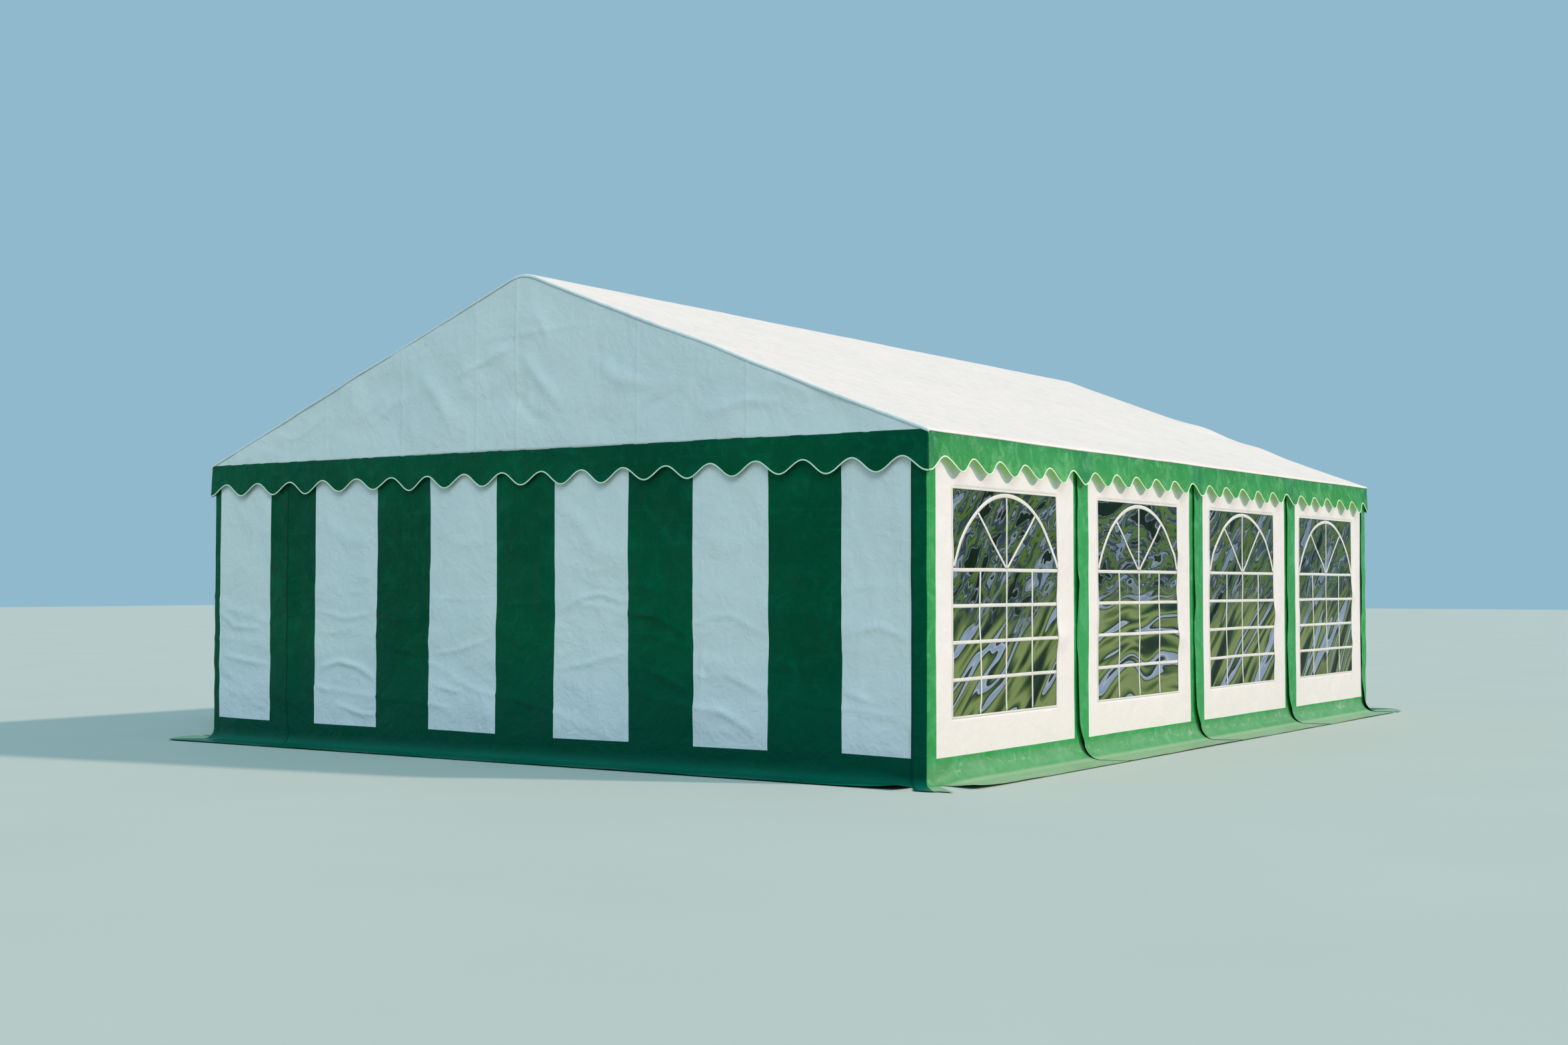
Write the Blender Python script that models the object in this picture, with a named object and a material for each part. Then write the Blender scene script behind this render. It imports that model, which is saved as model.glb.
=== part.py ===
"""Marquee tent, four bays long: a steel tube frame under a roof cover with scalloped valances,
with a window in each side wall panel and a zipped door in each gable wall.

Metres, +Z up. X runs across the tent and Y along it, with the front gable at -Y.
The origin is on the ground, at the middle of the plan."""

import math

import bmesh
import bpy
from mathutils import Matrix, Vector

# Frame
SPAN = 5.99  # between the post centre lines, across the tent
BAY = 1.975  # between the post centre lines, along the tent
BAYS = 4
EAVE_NODE = 2.005  # height where post, rafter and eave rail centre lines meet
RIDGE_RISE = 1.15  # from there up to where the two rafter centre lines would meet
RIDGE_BEND = 0.27  # radius of the bent ridge joint, on its centre line
TUBE = 0.025  # outer radius of posts and rafters
RAIL = 0.021  # outer radius of the rails along and across the tent and of the door posts
SLEEVE_WALL = 0.007  # of the sleeves and sockets that hold the rails and door posts
SLEEVE_LENGTH = 0.16
SOCKET_DROP = 0.10  # how far the door posts' sockets hang below the gable rail's centre line
SOCKET_FLOOR = 0.03  # and how far below that line their bores end
FITTING_WALL = 0.0015  # how far the eave and ridge fittings stand out round the tubes
FITTING_LEG = 0.15  # from the eave node, or the bend's end, to the end of a fitting
END_INSET = 0.001  # sleeves end this far inside the outermost tubes, and rails inside the sleeves
DOOR_POST_CLEARANCE = 0.06  # from a door's edge to the centre line of the post beside it
FOOT_SIDE = 0.12
FOOT_THICKNESS = 0.006
PEG_HOLE = 0.007  # radius
PEG_HOLE_SPACING = 0.07
PEG_HOLE_MARGIN = 0.014  # from the plate's edge to the hole's centre
TUBE_SIDES = 12
PEG_HOLE_SIDES = 8
BEND_STEPS = 6

# Cover and walls
FABRIC = 0.003
PANE = 0.002
GAP = 0.0003  # left between pieces that touch
COVER_OUT = 0.05  # from the outer post centre lines to the outer face of the cover
VALANCE_DEPTH = 0.147  # at the top of a scallop
SCALLOP_DEPTH = 0.083
SIDE_SCALLOPS = 24
GABLE_SCALLOPS = 18
SCALLOP_STEPS = 6
GABLE_INSET = 0.02  # the gable sheets' lower corners stand this far inside the cover's edge
WALL_ABOVE_NODE = 0.01  # the walls hang from this far above the eave rail's centre line
SIDE_SKIRT = 0.31  # how far the side walls' lower edge runs out over the ground
GABLE_SKIRT = 0.27  # and the gable walls'
SKIRT_BEND = 0.12  # radius of the curve from the wall to the ground
SKIRT_STEPS = 5

# Side wall panels
PANEL_LEAD = 0.085  # a panel's left edge stands this far before its post
PANEL_TAIL = 0.035  # and its right edge ends this far past the next post
JOG = 0.02  # length of the step between two layers of fabric
SIDE_WRAP = 0.10  # the first side panel turns this far round its corner post, over the gable
GABLE_WRAP = 0.14  # and the gable's edge panel this far round the other one, over the side
CORNER_BEND = 0.055  # radius of the curve to the ground at that corner
CORNER_SLIT = 0.09  # the first side panel's skirt is slit this far from the corner
SLIT_WIDTH = 0.004
SLIT_TURN = math.radians(15)  # and the side's skirt turns this far towards the slit
TONGUE_REACH = 0.25  # how far the skirt runs out from the gable between that slit and the gable's
TONGUE = 0.33  # length of the skirt at the corner without a slit
TONGUE_TURN = math.radians(34)  # how far off the gable's normal both point
WINDOW_LEFT_MARGIN = 0.25  # from the post before a window to its edge
WINDOW_RIGHT_MARGIN = 0.375  # and from its other edge to the next post
WINDOW_BOTTOM = 0.372
WINDOW_BELOW_EAVE = 0.31
PANE_LAP = 0.025  # the clear sheet runs this far behind the edge of its window

# Gable wall panels, as seen from outside
LAPPED_JOINT = 0.769  # from the left corner post to the edge of the panel on top
LAPPED_JOINT_WIDTH = 0.10
DOOR_LEFT = -0.575  # right of the tent's middle
DOOR_WIDTH = 2.011
ZIP_GAP = 0.0006
WALL_EDGE = 0.015  # a wall that ends under a wrap stops this far past the post's centre line
GABLE_SKIRT_EDGE = 0.025  # and the gable's skirt this far before it
GABLE_SKIRT_START = 0.08  # at its other end it runs straight out from this far past the post
UNDER_TONGUE = 0.075  # from there it lies flat under the side panel's, with the bend below
UNDER_BEND = 0.04
EASE = 0.35  # and this far from the post it has its full bend

HALF_SPAN = SPAN / 2
PITCH = math.atan2(RIDGE_RISE, HALF_SPAN)
POST_ROWS = [BAY * (row - BAYS / 2) for row in range(BAYS + 1)]
END_ROW = POST_ROWS[-1]
BEND_CENTRE = EAVE_NODE + RIDGE_RISE - RIDGE_BEND / math.cos(PITCH)
SLEEVE = RAIL + GAP + SLEEVE_WALL
FITTING = TUBE + FITTING_WALL
FRAME_RADIUS = max(SLEEVE, FITTING)
FABRIC_OFFSET = FRAME_RADIUS + GAP  # from the frame's centre lines to the fabric's inner face
COVER_X = HALF_SPAN + COVER_OUT
COVER_Y = END_ROW + COVER_OUT
WALL_X = HALF_SPAN + FABRIC_OFFSET
WALL_Y = END_ROW + FABRIC_OFFSET
WRAP_X = WALL_X + FABRIC + GAP  # the gable's corner wrap lies on the side wall's fabric
WALL_TOP = EAVE_NODE + WALL_ABOVE_NODE
WINDOW_TOP = EAVE_NODE - WINDOW_BELOW_EAVE
DOOR_RIGHT = DOOR_LEFT + DOOR_WIDTH
DOOR_POSTS = (DOOR_LEFT - DOOR_POST_CLEARANCE, DOOR_RIGHT + DOOR_POST_CLEARANCE)


def clear_scene():
    for old in list(bpy.data.objects):
        bpy.data.objects.remove(old)


def make_material(name, colour, roughness, metallic=0.0, alpha=1.0):
    made = bpy.data.materials.new(name)
    made.use_nodes = True
    shader = made.node_tree.nodes["Principled BSDF"]
    shader.inputs["Base Color"].default_value = (*colour, 1.0)
    shader.inputs["Roughness"].default_value = roughness
    shader.inputs["Metallic"].default_value = metallic
    shader.inputs["Alpha"].default_value = alpha
    made.diffuse_color = (*colour, alpha)
    return made


def add_object(name, mesh, material=None):
    made = bpy.data.objects.new(name, mesh)
    bpy.context.scene.collection.objects.link(made)
    if material:
        mesh.materials.append(material)
    return made


def mesh_of(name, points, faces):
    mesh = bpy.data.meshes.new(name)
    mesh.from_pydata([tuple(point) for point in points], [], faces)
    mesh.update()
    return mesh


# Tubes and plates


def tube_mesh(name, path, up, radius, sides=TUBE_SIDES):
    """A capped tube along a path whose bends turn about the up axis, with a corner along up.

    At each bend the polygon is mitred, so that both stretches keep their full width."""
    path = [Vector(point) for point in path]
    up = Vector(up)
    points = []
    for index, centre in enumerate(path):
        before = (centre - path[index - 1]).normalized() if index else None
        after = (path[index + 1] - centre).normalized() if index + 1 < len(path) else None
        along = ((before or after) + (after or before)).normalized()
        stretch = 1.0 / along.dot(after or before)
        across = (up - along * up.dot(along)).normalized()
        binormal = along.cross(across).normalized()
        for turn in range(sides):
            angle = 2 * math.pi * turn / sides
            sideways = radius * math.sin(angle) * stretch * binormal
            points.append(centre + radius * math.cos(angle) * across + sideways)
    faces = [list(range(sides))[::-1]]
    for index in range(len(path) - 1):
        low, high = index * sides, (index + 1) * sides
        for turn in range(sides):
            following = (turn + 1) % sides
            faces.append([low + turn, low + following, high + following, high + turn])
    faces.append([(len(path) - 1) * sides + turn for turn in range(sides)])
    mesh = mesh_of(name, points, faces)
    outward(mesh)
    mesh.shade_smooth()
    mesh.set_sharp_from_angle(angle=math.radians(40))
    return mesh


def outward(mesh):
    """Turns all faces to point out of the closed mesh."""
    work = bmesh.new()
    work.from_mesh(mesh)
    bmesh.ops.recalc_face_normals(work, faces=work.faces)
    if work.calc_volume(signed=True) < 0:
        bmesh.ops.reverse_faces(work, faces=work.faces)
    work.to_mesh(mesh)
    work.free()


def plate_mesh(name, low, high):
    work = bmesh.new()
    size = Vector(high) - Vector(low)
    place = Matrix.Translation((Vector(low) + Vector(high)) / 2) @ Matrix.Diagonal((*size, 1))
    bmesh.ops.create_cube(work, size=1, matrix=place)
    mesh = bpy.data.meshes.new(name)
    work.to_mesh(mesh)
    work.free()
    return mesh


def helper_group(name, meshes):
    """A collection of hidden helper objects, to be joined to a piece or cut from it."""
    group = bpy.data.collections.new(name)
    bpy.context.scene.collection.children.link(group)
    for index, mesh in enumerate(meshes):
        helper = bpy.data.objects.new(f"{name}_{index}", mesh)
        helper.hide_render = True
        helper.display_type = "WIRE"
        group.objects.link(helper)
    return group


def boolean(target, operation, meshes):
    step = target.modifiers.new(operation.lower(), "BOOLEAN")
    step.operation = operation
    step.solver = "EXACT"
    step.operand_type = "COLLECTION"
    step.collection = helper_group(f"{target.name}_{operation.lower()}", meshes)


def rafter_height(x):
    """Height of a rafter's centre line over x, on its straight stretch."""
    return EAVE_NODE + (HALF_SPAN - abs(x)) * math.tan(PITCH)


def roof_section(offset, edge_x):
    """(x, z) points of the roof's cross-section, offset outwards from the rafters' centre line,
    from the right edge over the bent ridge to the left edge."""
    edge_z = rafter_height(edge_x) + offset / math.cos(PITCH)
    radius = RIDGE_BEND + offset
    turns = [PITCH * (1 - 2 * step / BEND_STEPS) for step in range(BEND_STEPS + 1)]
    over = [(radius * math.sin(t), BEND_CENTRE + radius * math.cos(t)) for t in turns]
    return [(edge_x, edge_z), *over, (-edge_x, edge_z)]


RIDGE_RAIL_HEIGHT = BEND_CENTRE + RIDGE_BEND
RAIL_LINES = {
    "right_eave_rail": (HALF_SPAN, EAVE_NODE),
    "right_mid_rail": (HALF_SPAN / 2, rafter_height(HALF_SPAN / 2)),
    "ridge_rail": (0.0, RIDGE_RAIL_HEIGHT),
    "left_mid_rail": (-HALF_SPAN / 2, rafter_height(HALF_SPAN / 2)),
    "left_eave_rail": (-HALF_SPAN, EAVE_NODE),
}


def foot_meshes(name, x, y, inward_x, inward_y):
    """A post's foot plate, turned inwards so that the walls hang clear of it, and its peg holes."""
    half = FOOT_SIDE / 2
    shift = half - FITTING
    middle = Vector((x + inward_x * shift, y + inward_y * shift, FOOT_THICKNESS / 2))
    corner = Vector((half, half, FOOT_THICKNESS / 2))
    plate = plate_mesh(name, middle - corner, middle + corner)
    inward = Vector((inward_x, 0, 0)) if inward_x else Vector((0, inward_y, 0))
    along = Vector((inward.y, inward.x, 0))
    holes = []
    for sign in (-1, 1):
        centre = middle + inward * (half - PEG_HOLE_MARGIN) + along * sign * PEG_HOLE_SPACING / 2
        drop = Vector((0, 0, FOOT_THICKNESS))
        path = [centre - drop, centre + drop]
        holes.append(tube_mesh(f"{name}_hole", path, (1, 0, 0), PEG_HOLE, PEG_HOLE_SIDES))
    return plate, holes


def sleeve_path(x, z, row):
    """A sleeve round a rail, centred on its truss; on an end truss it runs only inwards."""
    end = END_ROW + TUBE - END_INSET
    low = max(row - SLEEVE_LENGTH / 2, -end)
    high = min(row + SLEEVE_LENGTH / 2, end)
    return [(x, low, z), (x, high, z)]


def fitting_paths():
    """(x, z) paths of the fittings round the two eave joints and the ridge joint."""
    leg_x, leg_z = FITTING_LEG * math.cos(PITCH), FITTING_LEG * math.sin(PITCH)
    paths = []
    for side in (-1, 1):
        x = side * HALF_SPAN
        paths.append([(x, EAVE_NODE - FITTING_LEG), (x, EAVE_NODE), (x - side * leg_x, EAVE_NODE + leg_z)])
    bend = roof_section(0.0, HALF_SPAN)[1:-1]
    right, left = bend[0], bend[-1]
    paths.append([(right[0] + leg_x, right[1] - leg_z), *bend, (left[0] - leg_x, left[1] - leg_z)])
    return paths


def build_truss(number, row, steel):
    """Two posts and two rafters with their fittings, feet and rail sleeves.

    The end trusses also have the gable rail and its sockets for the door posts."""
    name = f"truss_{number}"
    up = (0, 1, 0)
    foot_top = FOOT_THICKNESS / 2
    frame = [(HALF_SPAN, foot_top), *roof_section(0.0, HALF_SPAN), (-HALF_SPAN, foot_top)]
    truss = add_object(name, tube_mesh(name, [(x, row, z) for x, z in frame], up, TUBE), steel)
    inward_y = {POST_ROWS[0]: 1, POST_ROWS[-1]: -1}.get(row, 0)
    joined, cut = [], []
    for path in fitting_paths():
        joined.append(tube_mesh(f"{name}_fitting", [(x, row, z) for x, z in path], up, FITTING))
    for side in (-1, 1):
        plate, holes = foot_meshes(f"{name}_foot", side * HALF_SPAN, row, -side, inward_y)
        joined.append(plate)
        cut += holes
    for x, z in RAIL_LINES.values():
        joined.append(tube_mesh(f"{name}_sleeve", sleeve_path(x, z, row), (0, 0, 1), SLEEVE))
        bore = [(x, -COVER_Y, z), (x, COVER_Y, z)]
        cut.append(tube_mesh(f"{name}_bore", bore, (0, 0, 1), RAIL + GAP))
    if inward_y:
        reach = HALF_SPAN - (TUBE + FITTING) / 2
        across = [(-reach, row, EAVE_NODE), (reach, row, EAVE_NODE)]
        joined.append(tube_mesh(f"{name}_gable_rail", across, up, RAIL))
        low, below = EAVE_NODE - SOCKET_DROP, EAVE_NODE - 2 * SOCKET_DROP
        for place in DOOR_POSTS:
            x = inward_y * place
            socket = [(x, row, low), (x, row, EAVE_NODE)]
            joined.append(tube_mesh(f"{name}_socket", socket, up, SLEEVE))
            bore = [(x, row, below), (x, row, EAVE_NODE - SOCKET_FLOOR)]
            cut.append(tube_mesh(f"{name}_socket_bore", bore, up, RAIL + GAP))
    boolean(truss, "UNION", joined)
    boolean(truss, "DIFFERENCE", cut)


def build_rails(steel):
    end = END_ROW + TUBE - 2 * END_INSET
    for name, (x, z) in RAIL_LINES.items():
        mesh = tube_mesh(name, [(x, -end, z), (x, end, z)], (0, 0, 1), RAIL)
        add_object(name, mesh, steel)


def build_door_posts(steel):
    up = (0, 1, 0)
    top = EAVE_NODE - SOCKET_FLOOR - GAP
    for gable, row, inward in (("front", -END_ROW, 1), ("rear", END_ROW, -1)):
        for hand, place in zip(("left", "right"), DOOR_POSTS):
            name = f"{gable}_door_post_{hand}"
            x = inward * place
            tube = tube_mesh(name, [(x, row, FOOT_THICKNESS / 2), (x, row, top)], up, RAIL)
            post = add_object(name, tube, steel)
            plate, holes = foot_meshes(f"{name}_foot", x, row, 0, inward)
            boolean(post, "UNION", [plate])
            boolean(post, "DIFFERENCE", holes)


# Sheets


def sheet(name, outer, inner, material, open_cells=()):
    """A closed sheet between two grids of points, on its outer and its inner face.

    Each grid is a list of rows, seen from outside from the top down, each from left to right.
    open_cells holds the (row, column) of each cell that is left out."""
    columns = len(outer[0])
    count = len(outer) * columns
    points = [point for grid in (outer, inner) for row in grid for point in row]
    faces, rim = [], {}
    for r in range(len(outer) - 1):
        for c in range(columns - 1):
            if (r, c) in open_cells:
                continue
            low, high = (r + 1) * columns + c, r * columns + c
            cell = [low, low + 1, high + 1, high]
            for half in ([low, low + 1, high + 1], [low, high + 1, high]):
                faces.append(half)
                faces.append([corner + count for corner in reversed(half)])
            for start, end in zip(cell, cell[1:] + cell[:1]):
                if rim.pop((end, start), None) is None:
                    rim[(start, end)] = True
    for start, end in rim:
        faces.append([end, start, start + count, end + count])
    mesh = mesh_of(name, points, faces)
    work = bmesh.new()
    work.from_mesh(mesh)
    loose = [vertex for vertex in work.verts if not vertex.link_faces]
    bmesh.ops.delete(work, geom=loose, context="VERTS")
    work.to_mesh(mesh)
    work.free()
    return add_object(name, mesh, material)


def flat_sheet(name, outer, thickness, outward, material):
    """A flat sheet under a grid of points on its outer face, which points along outward."""
    depth = thickness * Vector(outward)
    inner = [[Vector(point) - depth for point in row] for row in outer]
    return sheet(name, outer, inner, material)


def half_turn(made):
    """Puts a piece of the right side or the front gable on the opposite side of the tent."""
    made.rotation_euler = (0, 0, math.pi)


WALL_HEIGHTS = [WALL_TOP, WINDOW_TOP, WINDOW_BOTTOM]
WINDOW_ROW = 1
SKIRT_ROWS = range(len(WALL_HEIGHTS), len(WALL_HEIGHTS) + SKIRT_STEPS + 1)


def wall_section(offset, reach, bend):
    """(outwards, height) points down a wall and out over the ground, offset from its inner line."""
    radius = bend - offset
    section = [(offset, z) for z in WALL_HEIGHTS]
    for step in range(SKIRT_STEPS + 1):
        turn = math.pi / 2 * step / SKIRT_STEPS
        section.append((bend - radius * math.cos(turn), bend - radius * math.sin(turn)))
    section.append((reach, offset))
    return section


def station(x, y, outward, reach, run=None, layer=0, bend=SKIRT_BEND):
    """A vertical line for a wall to pass: the way its face looks, and its skirt's length, way
    and bend.

    Layer 0 lies on the frame and the ground, and layer 1 on a layer 0 sheet."""
    run = run or outward
    return Vector((x, y, 0)), Vector((*outward, 0)), Vector((*run, 0)), reach, layer, bend


def wall_sheet(name, stations, material, open_cells=()):
    """A wall panel with its skirt, through stations given from left to right."""
    grids = []
    for depth in (FABRIC, 0):
        columns = []
        for base, outward, run, reach, layer, bend in stations:
            offset = depth + layer * (FABRIC + GAP)
            face = base + offset * outward
            section = wall_section(offset, reach, bend)
            columns.append([face + (out - offset) * run + Vector((0, 0, z)) for out, z in section])
        grids.append([list(row) for row in zip(*columns)])
    return sheet(name, grids[0], grids[1], material, open_cells)


def side_wall(bay):
    """The stations of a side wall panel on the right side, and the cells that stay open in it."""
    left_post, right_post = POST_ROWS[bay], POST_ROWS[bay + 1]
    outward = (1, 0)
    if bay == 0:
        run = (math.sin(TONGUE_TURN), -math.cos(TONGUE_TURN))
        slit = CORNER_SLIT - WALL_Y
        reach = TONGUE_REACH / math.cos(TONGUE_TURN)
        slit_reach = (TONGUE_REACH + CORNER_SLIT) / math.cos(TONGUE_TURN)
        beside = (math.cos(SLIT_TURN), -math.sin(SLIT_TURN))
        bend = CORNER_BEND
        stations = [
            station(WALL_X - SIDE_WRAP, -WALL_Y, (0, -1), reach, run, 1, bend),
            station(WALL_X, -WALL_Y, (1, -1), reach, run, 1, bend),
            station(WALL_X, slit, outward, slit_reach, run, bend=bend),
            station(WALL_X, slit + SLIT_WIDTH, outward, SIDE_SKIRT, beside, bend=bend),
        ]
        open_cells = {(SKIRT_ROWS[-1], 2)}
    else:
        step = left_post + PANEL_TAIL + JOG
        stations = [
            station(WALL_X, left_post - PANEL_LEAD, outward, SIDE_SKIRT, layer=1),
            station(WALL_X, step, outward, SIDE_SKIRT, layer=1),
            station(WALL_X, step + JOG, outward, SIDE_SKIRT),
        ]
        open_cells = set()
    open_cells.add((WINDOW_ROW, len(stations)))
    stations.append(station(WALL_X, left_post + WINDOW_LEFT_MARGIN, outward, SIDE_SKIRT))
    stations.append(station(WALL_X, right_post - WINDOW_RIGHT_MARGIN, outward, SIDE_SKIRT))
    if bay == BAYS - 1:
        open_cells |= {(row, len(stations)) for row in SKIRT_ROWS}
        stations.append(station(WALL_X, WALL_Y - GABLE_WRAP - GAP, outward, SIDE_SKIRT))
        stations.append(station(WALL_X, right_post + WALL_EDGE, outward, SIDE_SKIRT))
    else:
        stations.append(station(WALL_X, right_post + PANEL_TAIL, outward, SIDE_SKIRT))
    return stations, open_cells


def build_side_walls(white, clear):
    pane_x = WALL_X - GAP
    high, low = WINDOW_TOP + PANE_LAP, WINDOW_BOTTOM - PANE_LAP
    for side in ("right", "left"):
        for bay in range(BAYS):
            stations, open_cells = side_wall(bay)
            wall = wall_sheet(f"{side}_wall_{bay + 1}", stations, white, open_cells)
            start = POST_ROWS[bay] + WINDOW_LEFT_MARGIN - PANE_LAP
            finish = POST_ROWS[bay + 1] - WINDOW_RIGHT_MARGIN + PANE_LAP
            grid = [[(pane_x, y, z) for y in (start, finish)] for z in (high, low)]
            pane = flat_sheet(f"{side}_window_{bay + 1}", grid, PANE, (1, 0, 0), clear)
            if side == "left":
                half_turn(wall)
                half_turn(pane)


def gable_station(x, layer=0, bend=SKIRT_BEND):
    return station(x, -WALL_Y, (0, -1), GABLE_SKIRT, layer=layer, bend=bend)


def build_gable_walls(green):
    lap = LAPPED_JOINT - HALF_SPAN
    lap_end = lap + LAPPED_JOINT_WIDTH
    skirt_edge = HALF_SPAN - GABLE_SKIRT_EDGE
    run = (-math.sin(TONGUE_TURN), -math.cos(TONGUE_TURN))
    under = [gable_station(x, bend=UNDER_BEND) for x in (HALF_SPAN - UNDER_TONGUE, skirt_edge)]
    wrap = [
        station(-WRAP_X, GABLE_WRAP - WALL_Y, (-1, 0), SIDE_SKIRT),
        station(-WRAP_X, -WALL_Y, (-1, -1), TONGUE, run),
        gable_station(GABLE_SKIRT_START - HALF_SPAN),
    ]
    left_of_door = DOOR_LEFT - ZIP_GAP / 2
    right_of_door = DOOR_RIGHT + ZIP_GAP / 2
    panels = {
        "edge_wall": [*wrap, gable_station(lap_end - JOG)],
        "left_wall": [
            gable_station(lap, layer=1),
            gable_station(lap_end, layer=1),
            gable_station(lap_end + JOG),
            gable_station(left_of_door),
        ],
        "door": [gable_station(left_of_door + ZIP_GAP), gable_station(right_of_door - ZIP_GAP)],
        "right_wall": [
            gable_station(right_of_door),
            gable_station(HALF_SPAN - EASE),
            *under,
            gable_station(HALF_SPAN + WALL_EDGE),
        ],
    }
    for gable in ("front", "rear"):
        for panel, stations in panels.items():
            open_cells = {(row, 3) for row in SKIRT_ROWS} if panel == "right_wall" else set()
            made = wall_sheet(f"{gable}_{panel}", stations, green, open_cells)
            if gable == "rear":
                half_turn(made)


def build_roof(white):
    grids = []
    for depth in (FABRIC, 0):
        edge_x = COVER_X - (FABRIC - depth) * math.sin(PITCH)
        section = roof_section(FABRIC_OFFSET + depth, edge_x)[::-1]
        grids.append([[(x, y, z) for x, z in section] for y in (COVER_Y, -COVER_Y)])
    sheet("roof_cover", grids[0], grids[1], white)


COVER_RIM = (  # height of the lowest line along the cover's lower edges
    rafter_height(COVER_X) + (FABRIC_OFFSET + FABRIC) / math.cos(PITCH) - FABRIC * math.cos(PITCH)
)


def build_gables(white):
    """The triangle above each gable's valance, under the cover's edge."""
    section = roof_section(FABRIC_OFFSET - GAP, COVER_X - GABLE_INSET)[::-1]
    top = [(x, -COVER_Y, z) for x, z in section]
    bottom = [(x, -COVER_Y, COVER_RIM) for x, z in section]
    for gable in ("front", "rear"):
        made = flat_sheet(f"{gable}_gable", [top, bottom], FABRIC, (0, -1, 0), white)
        if gable == "rear":
            half_turn(made)


def scalloped(length, count):
    """(along, drop) points of a wavy edge that hangs lowest at both ends."""
    steps = count * SCALLOP_STEPS
    edge = []
    for step in range(steps + 1):
        wave = 0.5 + 0.5 * math.cos(2 * math.pi * step / SCALLOP_STEPS)
        edge.append((length * (step / steps - 0.5), VALANCE_DEPTH + SCALLOP_DEPTH * wave))
    return edge


def build_valances(green):
    """The strips that hang from the cover's lower edges and from the gables' lower edges."""
    top = COVER_RIM - GAP
    side_edge = scalloped(2 * (COVER_Y - FABRIC - GAP), SIDE_SCALLOPS)
    gable_edge = scalloped(2 * COVER_X, GABLE_SCALLOPS)
    side_grid = [[(COVER_X, y, top) for y, drop in side_edge]]
    side_grid.append([(COVER_X, y, top - drop) for y, drop in side_edge])
    gable_grid = [[(x, -COVER_Y, top) for x, drop in gable_edge]]
    gable_grid.append([(x, -COVER_Y, top - drop) for x, drop in gable_edge])
    for names, grid, outward in (
        (("right_valance", "left_valance"), side_grid, (1, 0, 0)),
        (("front_valance", "rear_valance"), gable_grid, (0, -1, 0)),
    ):
        for name in names:
            made = flat_sheet(name, grid, FABRIC, outward, green)
        half_turn(made)


def main():
    clear_scene()
    white = make_material("white_pvc", (0.86, 0.86, 0.84), 0.45)
    green = make_material("green_pvc", (0.03, 0.25, 0.11), 0.45)
    clear = make_material("clear_pvc", (0.30, 0.36, 0.33), 0.1, alpha=0.45)
    steel = make_material("galvanised_steel", (0.62, 0.64, 0.66), 0.4, metallic=0.9)
    for number, row in enumerate(POST_ROWS, start=1):
        build_truss(number, row, steel)
    build_rails(steel)
    build_door_posts(steel)
    build_side_walls(white, clear)
    build_gable_walls(green)
    build_gables(white)
    build_roof(white)
    build_valances(green)


main()
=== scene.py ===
import math

import bpy
import numpy as np
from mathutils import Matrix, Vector


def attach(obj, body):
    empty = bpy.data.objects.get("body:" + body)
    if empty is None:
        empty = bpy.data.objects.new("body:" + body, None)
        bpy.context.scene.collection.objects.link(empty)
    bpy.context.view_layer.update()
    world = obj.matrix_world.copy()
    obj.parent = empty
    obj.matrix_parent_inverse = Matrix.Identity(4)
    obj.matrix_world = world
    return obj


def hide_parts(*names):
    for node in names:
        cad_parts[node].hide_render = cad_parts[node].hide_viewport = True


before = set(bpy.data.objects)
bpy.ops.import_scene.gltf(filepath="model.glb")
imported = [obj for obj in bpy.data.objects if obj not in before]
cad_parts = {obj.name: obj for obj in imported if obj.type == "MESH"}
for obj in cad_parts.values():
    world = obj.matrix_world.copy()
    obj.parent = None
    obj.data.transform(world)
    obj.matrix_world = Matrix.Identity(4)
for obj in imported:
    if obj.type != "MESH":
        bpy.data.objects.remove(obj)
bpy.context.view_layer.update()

# The frame's lines and the sheets' places, in metres, as in the CAD model
HALF_SPAN = 2.995
END_ROW = 3.95
BAY = 1.975
POST_ROWS = [-END_ROW, -BAY, 0.0, BAY, END_ROW]
RIDGE_RISE = 1.15
PITCH = math.atan2(RIDGE_RISE, HALF_SPAN)
EAVE_NODE = 2.005
RIDGE_BEND = 0.27
BEND_CENTRE = EAVE_NODE + RIDGE_RISE - RIDGE_BEND / math.cos(PITCH)
CLOTH_OFFSET = 0.0286  # from the frame's centre lines to the sheets' inner face
LAYER = 0.0033  # from one layer of fabric to the next
FACE = 0.003  # from the inner line of a wall to its outer face
WALL_X = HALF_SPAN + CLOTH_OFFSET
WALL_Y = END_ROW + CLOTH_OFFSET
WRAP_X = WALL_X + LAYER
WRAP_Y = WALL_Y + LAYER
WRAP_REACH = 0.14
WRAP_EDGE = -WRAP_X - WRAP_REACH  # the free edge of a gable's edge wall, past the corner
WRAP_SLIT = WALL_Y - 0.1403  # where the last side panel's skirt stops, beside that edge
CORNER_RADIUS = 0.014
ARC_STEPS = 5
COVER_X = 3.045
COVER_Y = 4.0
COVER_RIM = 2.0169
WALL_TOP = 2.015
BEND = 0.12  # radius of the curve from a side wall to the ground
GABLE_BEND = 0.09
CORNER_BEND = 0.05
WRAP_BEND = 0.08
END_BEND = 0.042
SIDE_SKIRT = 0.31
GABLE_SKIRT = 0.27
SLIT = -3.8886  # where the first side panel's skirt is slit, beside the corner
SLIT_WIDTH = 0.004
SKIRT_END = 2.97  # and where the gable's skirt ends under the side's
WINDOW_TOP = 1.695
WINDOW_BOTTOM = 0.372
WINDOW_LEFT = 0.25  # from the post before a window to its edge
WINDOW_RIGHT = 0.375  # and from its other edge to the next post
PANEL_LEAD = 0.085
PANEL_TAIL = 0.035
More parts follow.
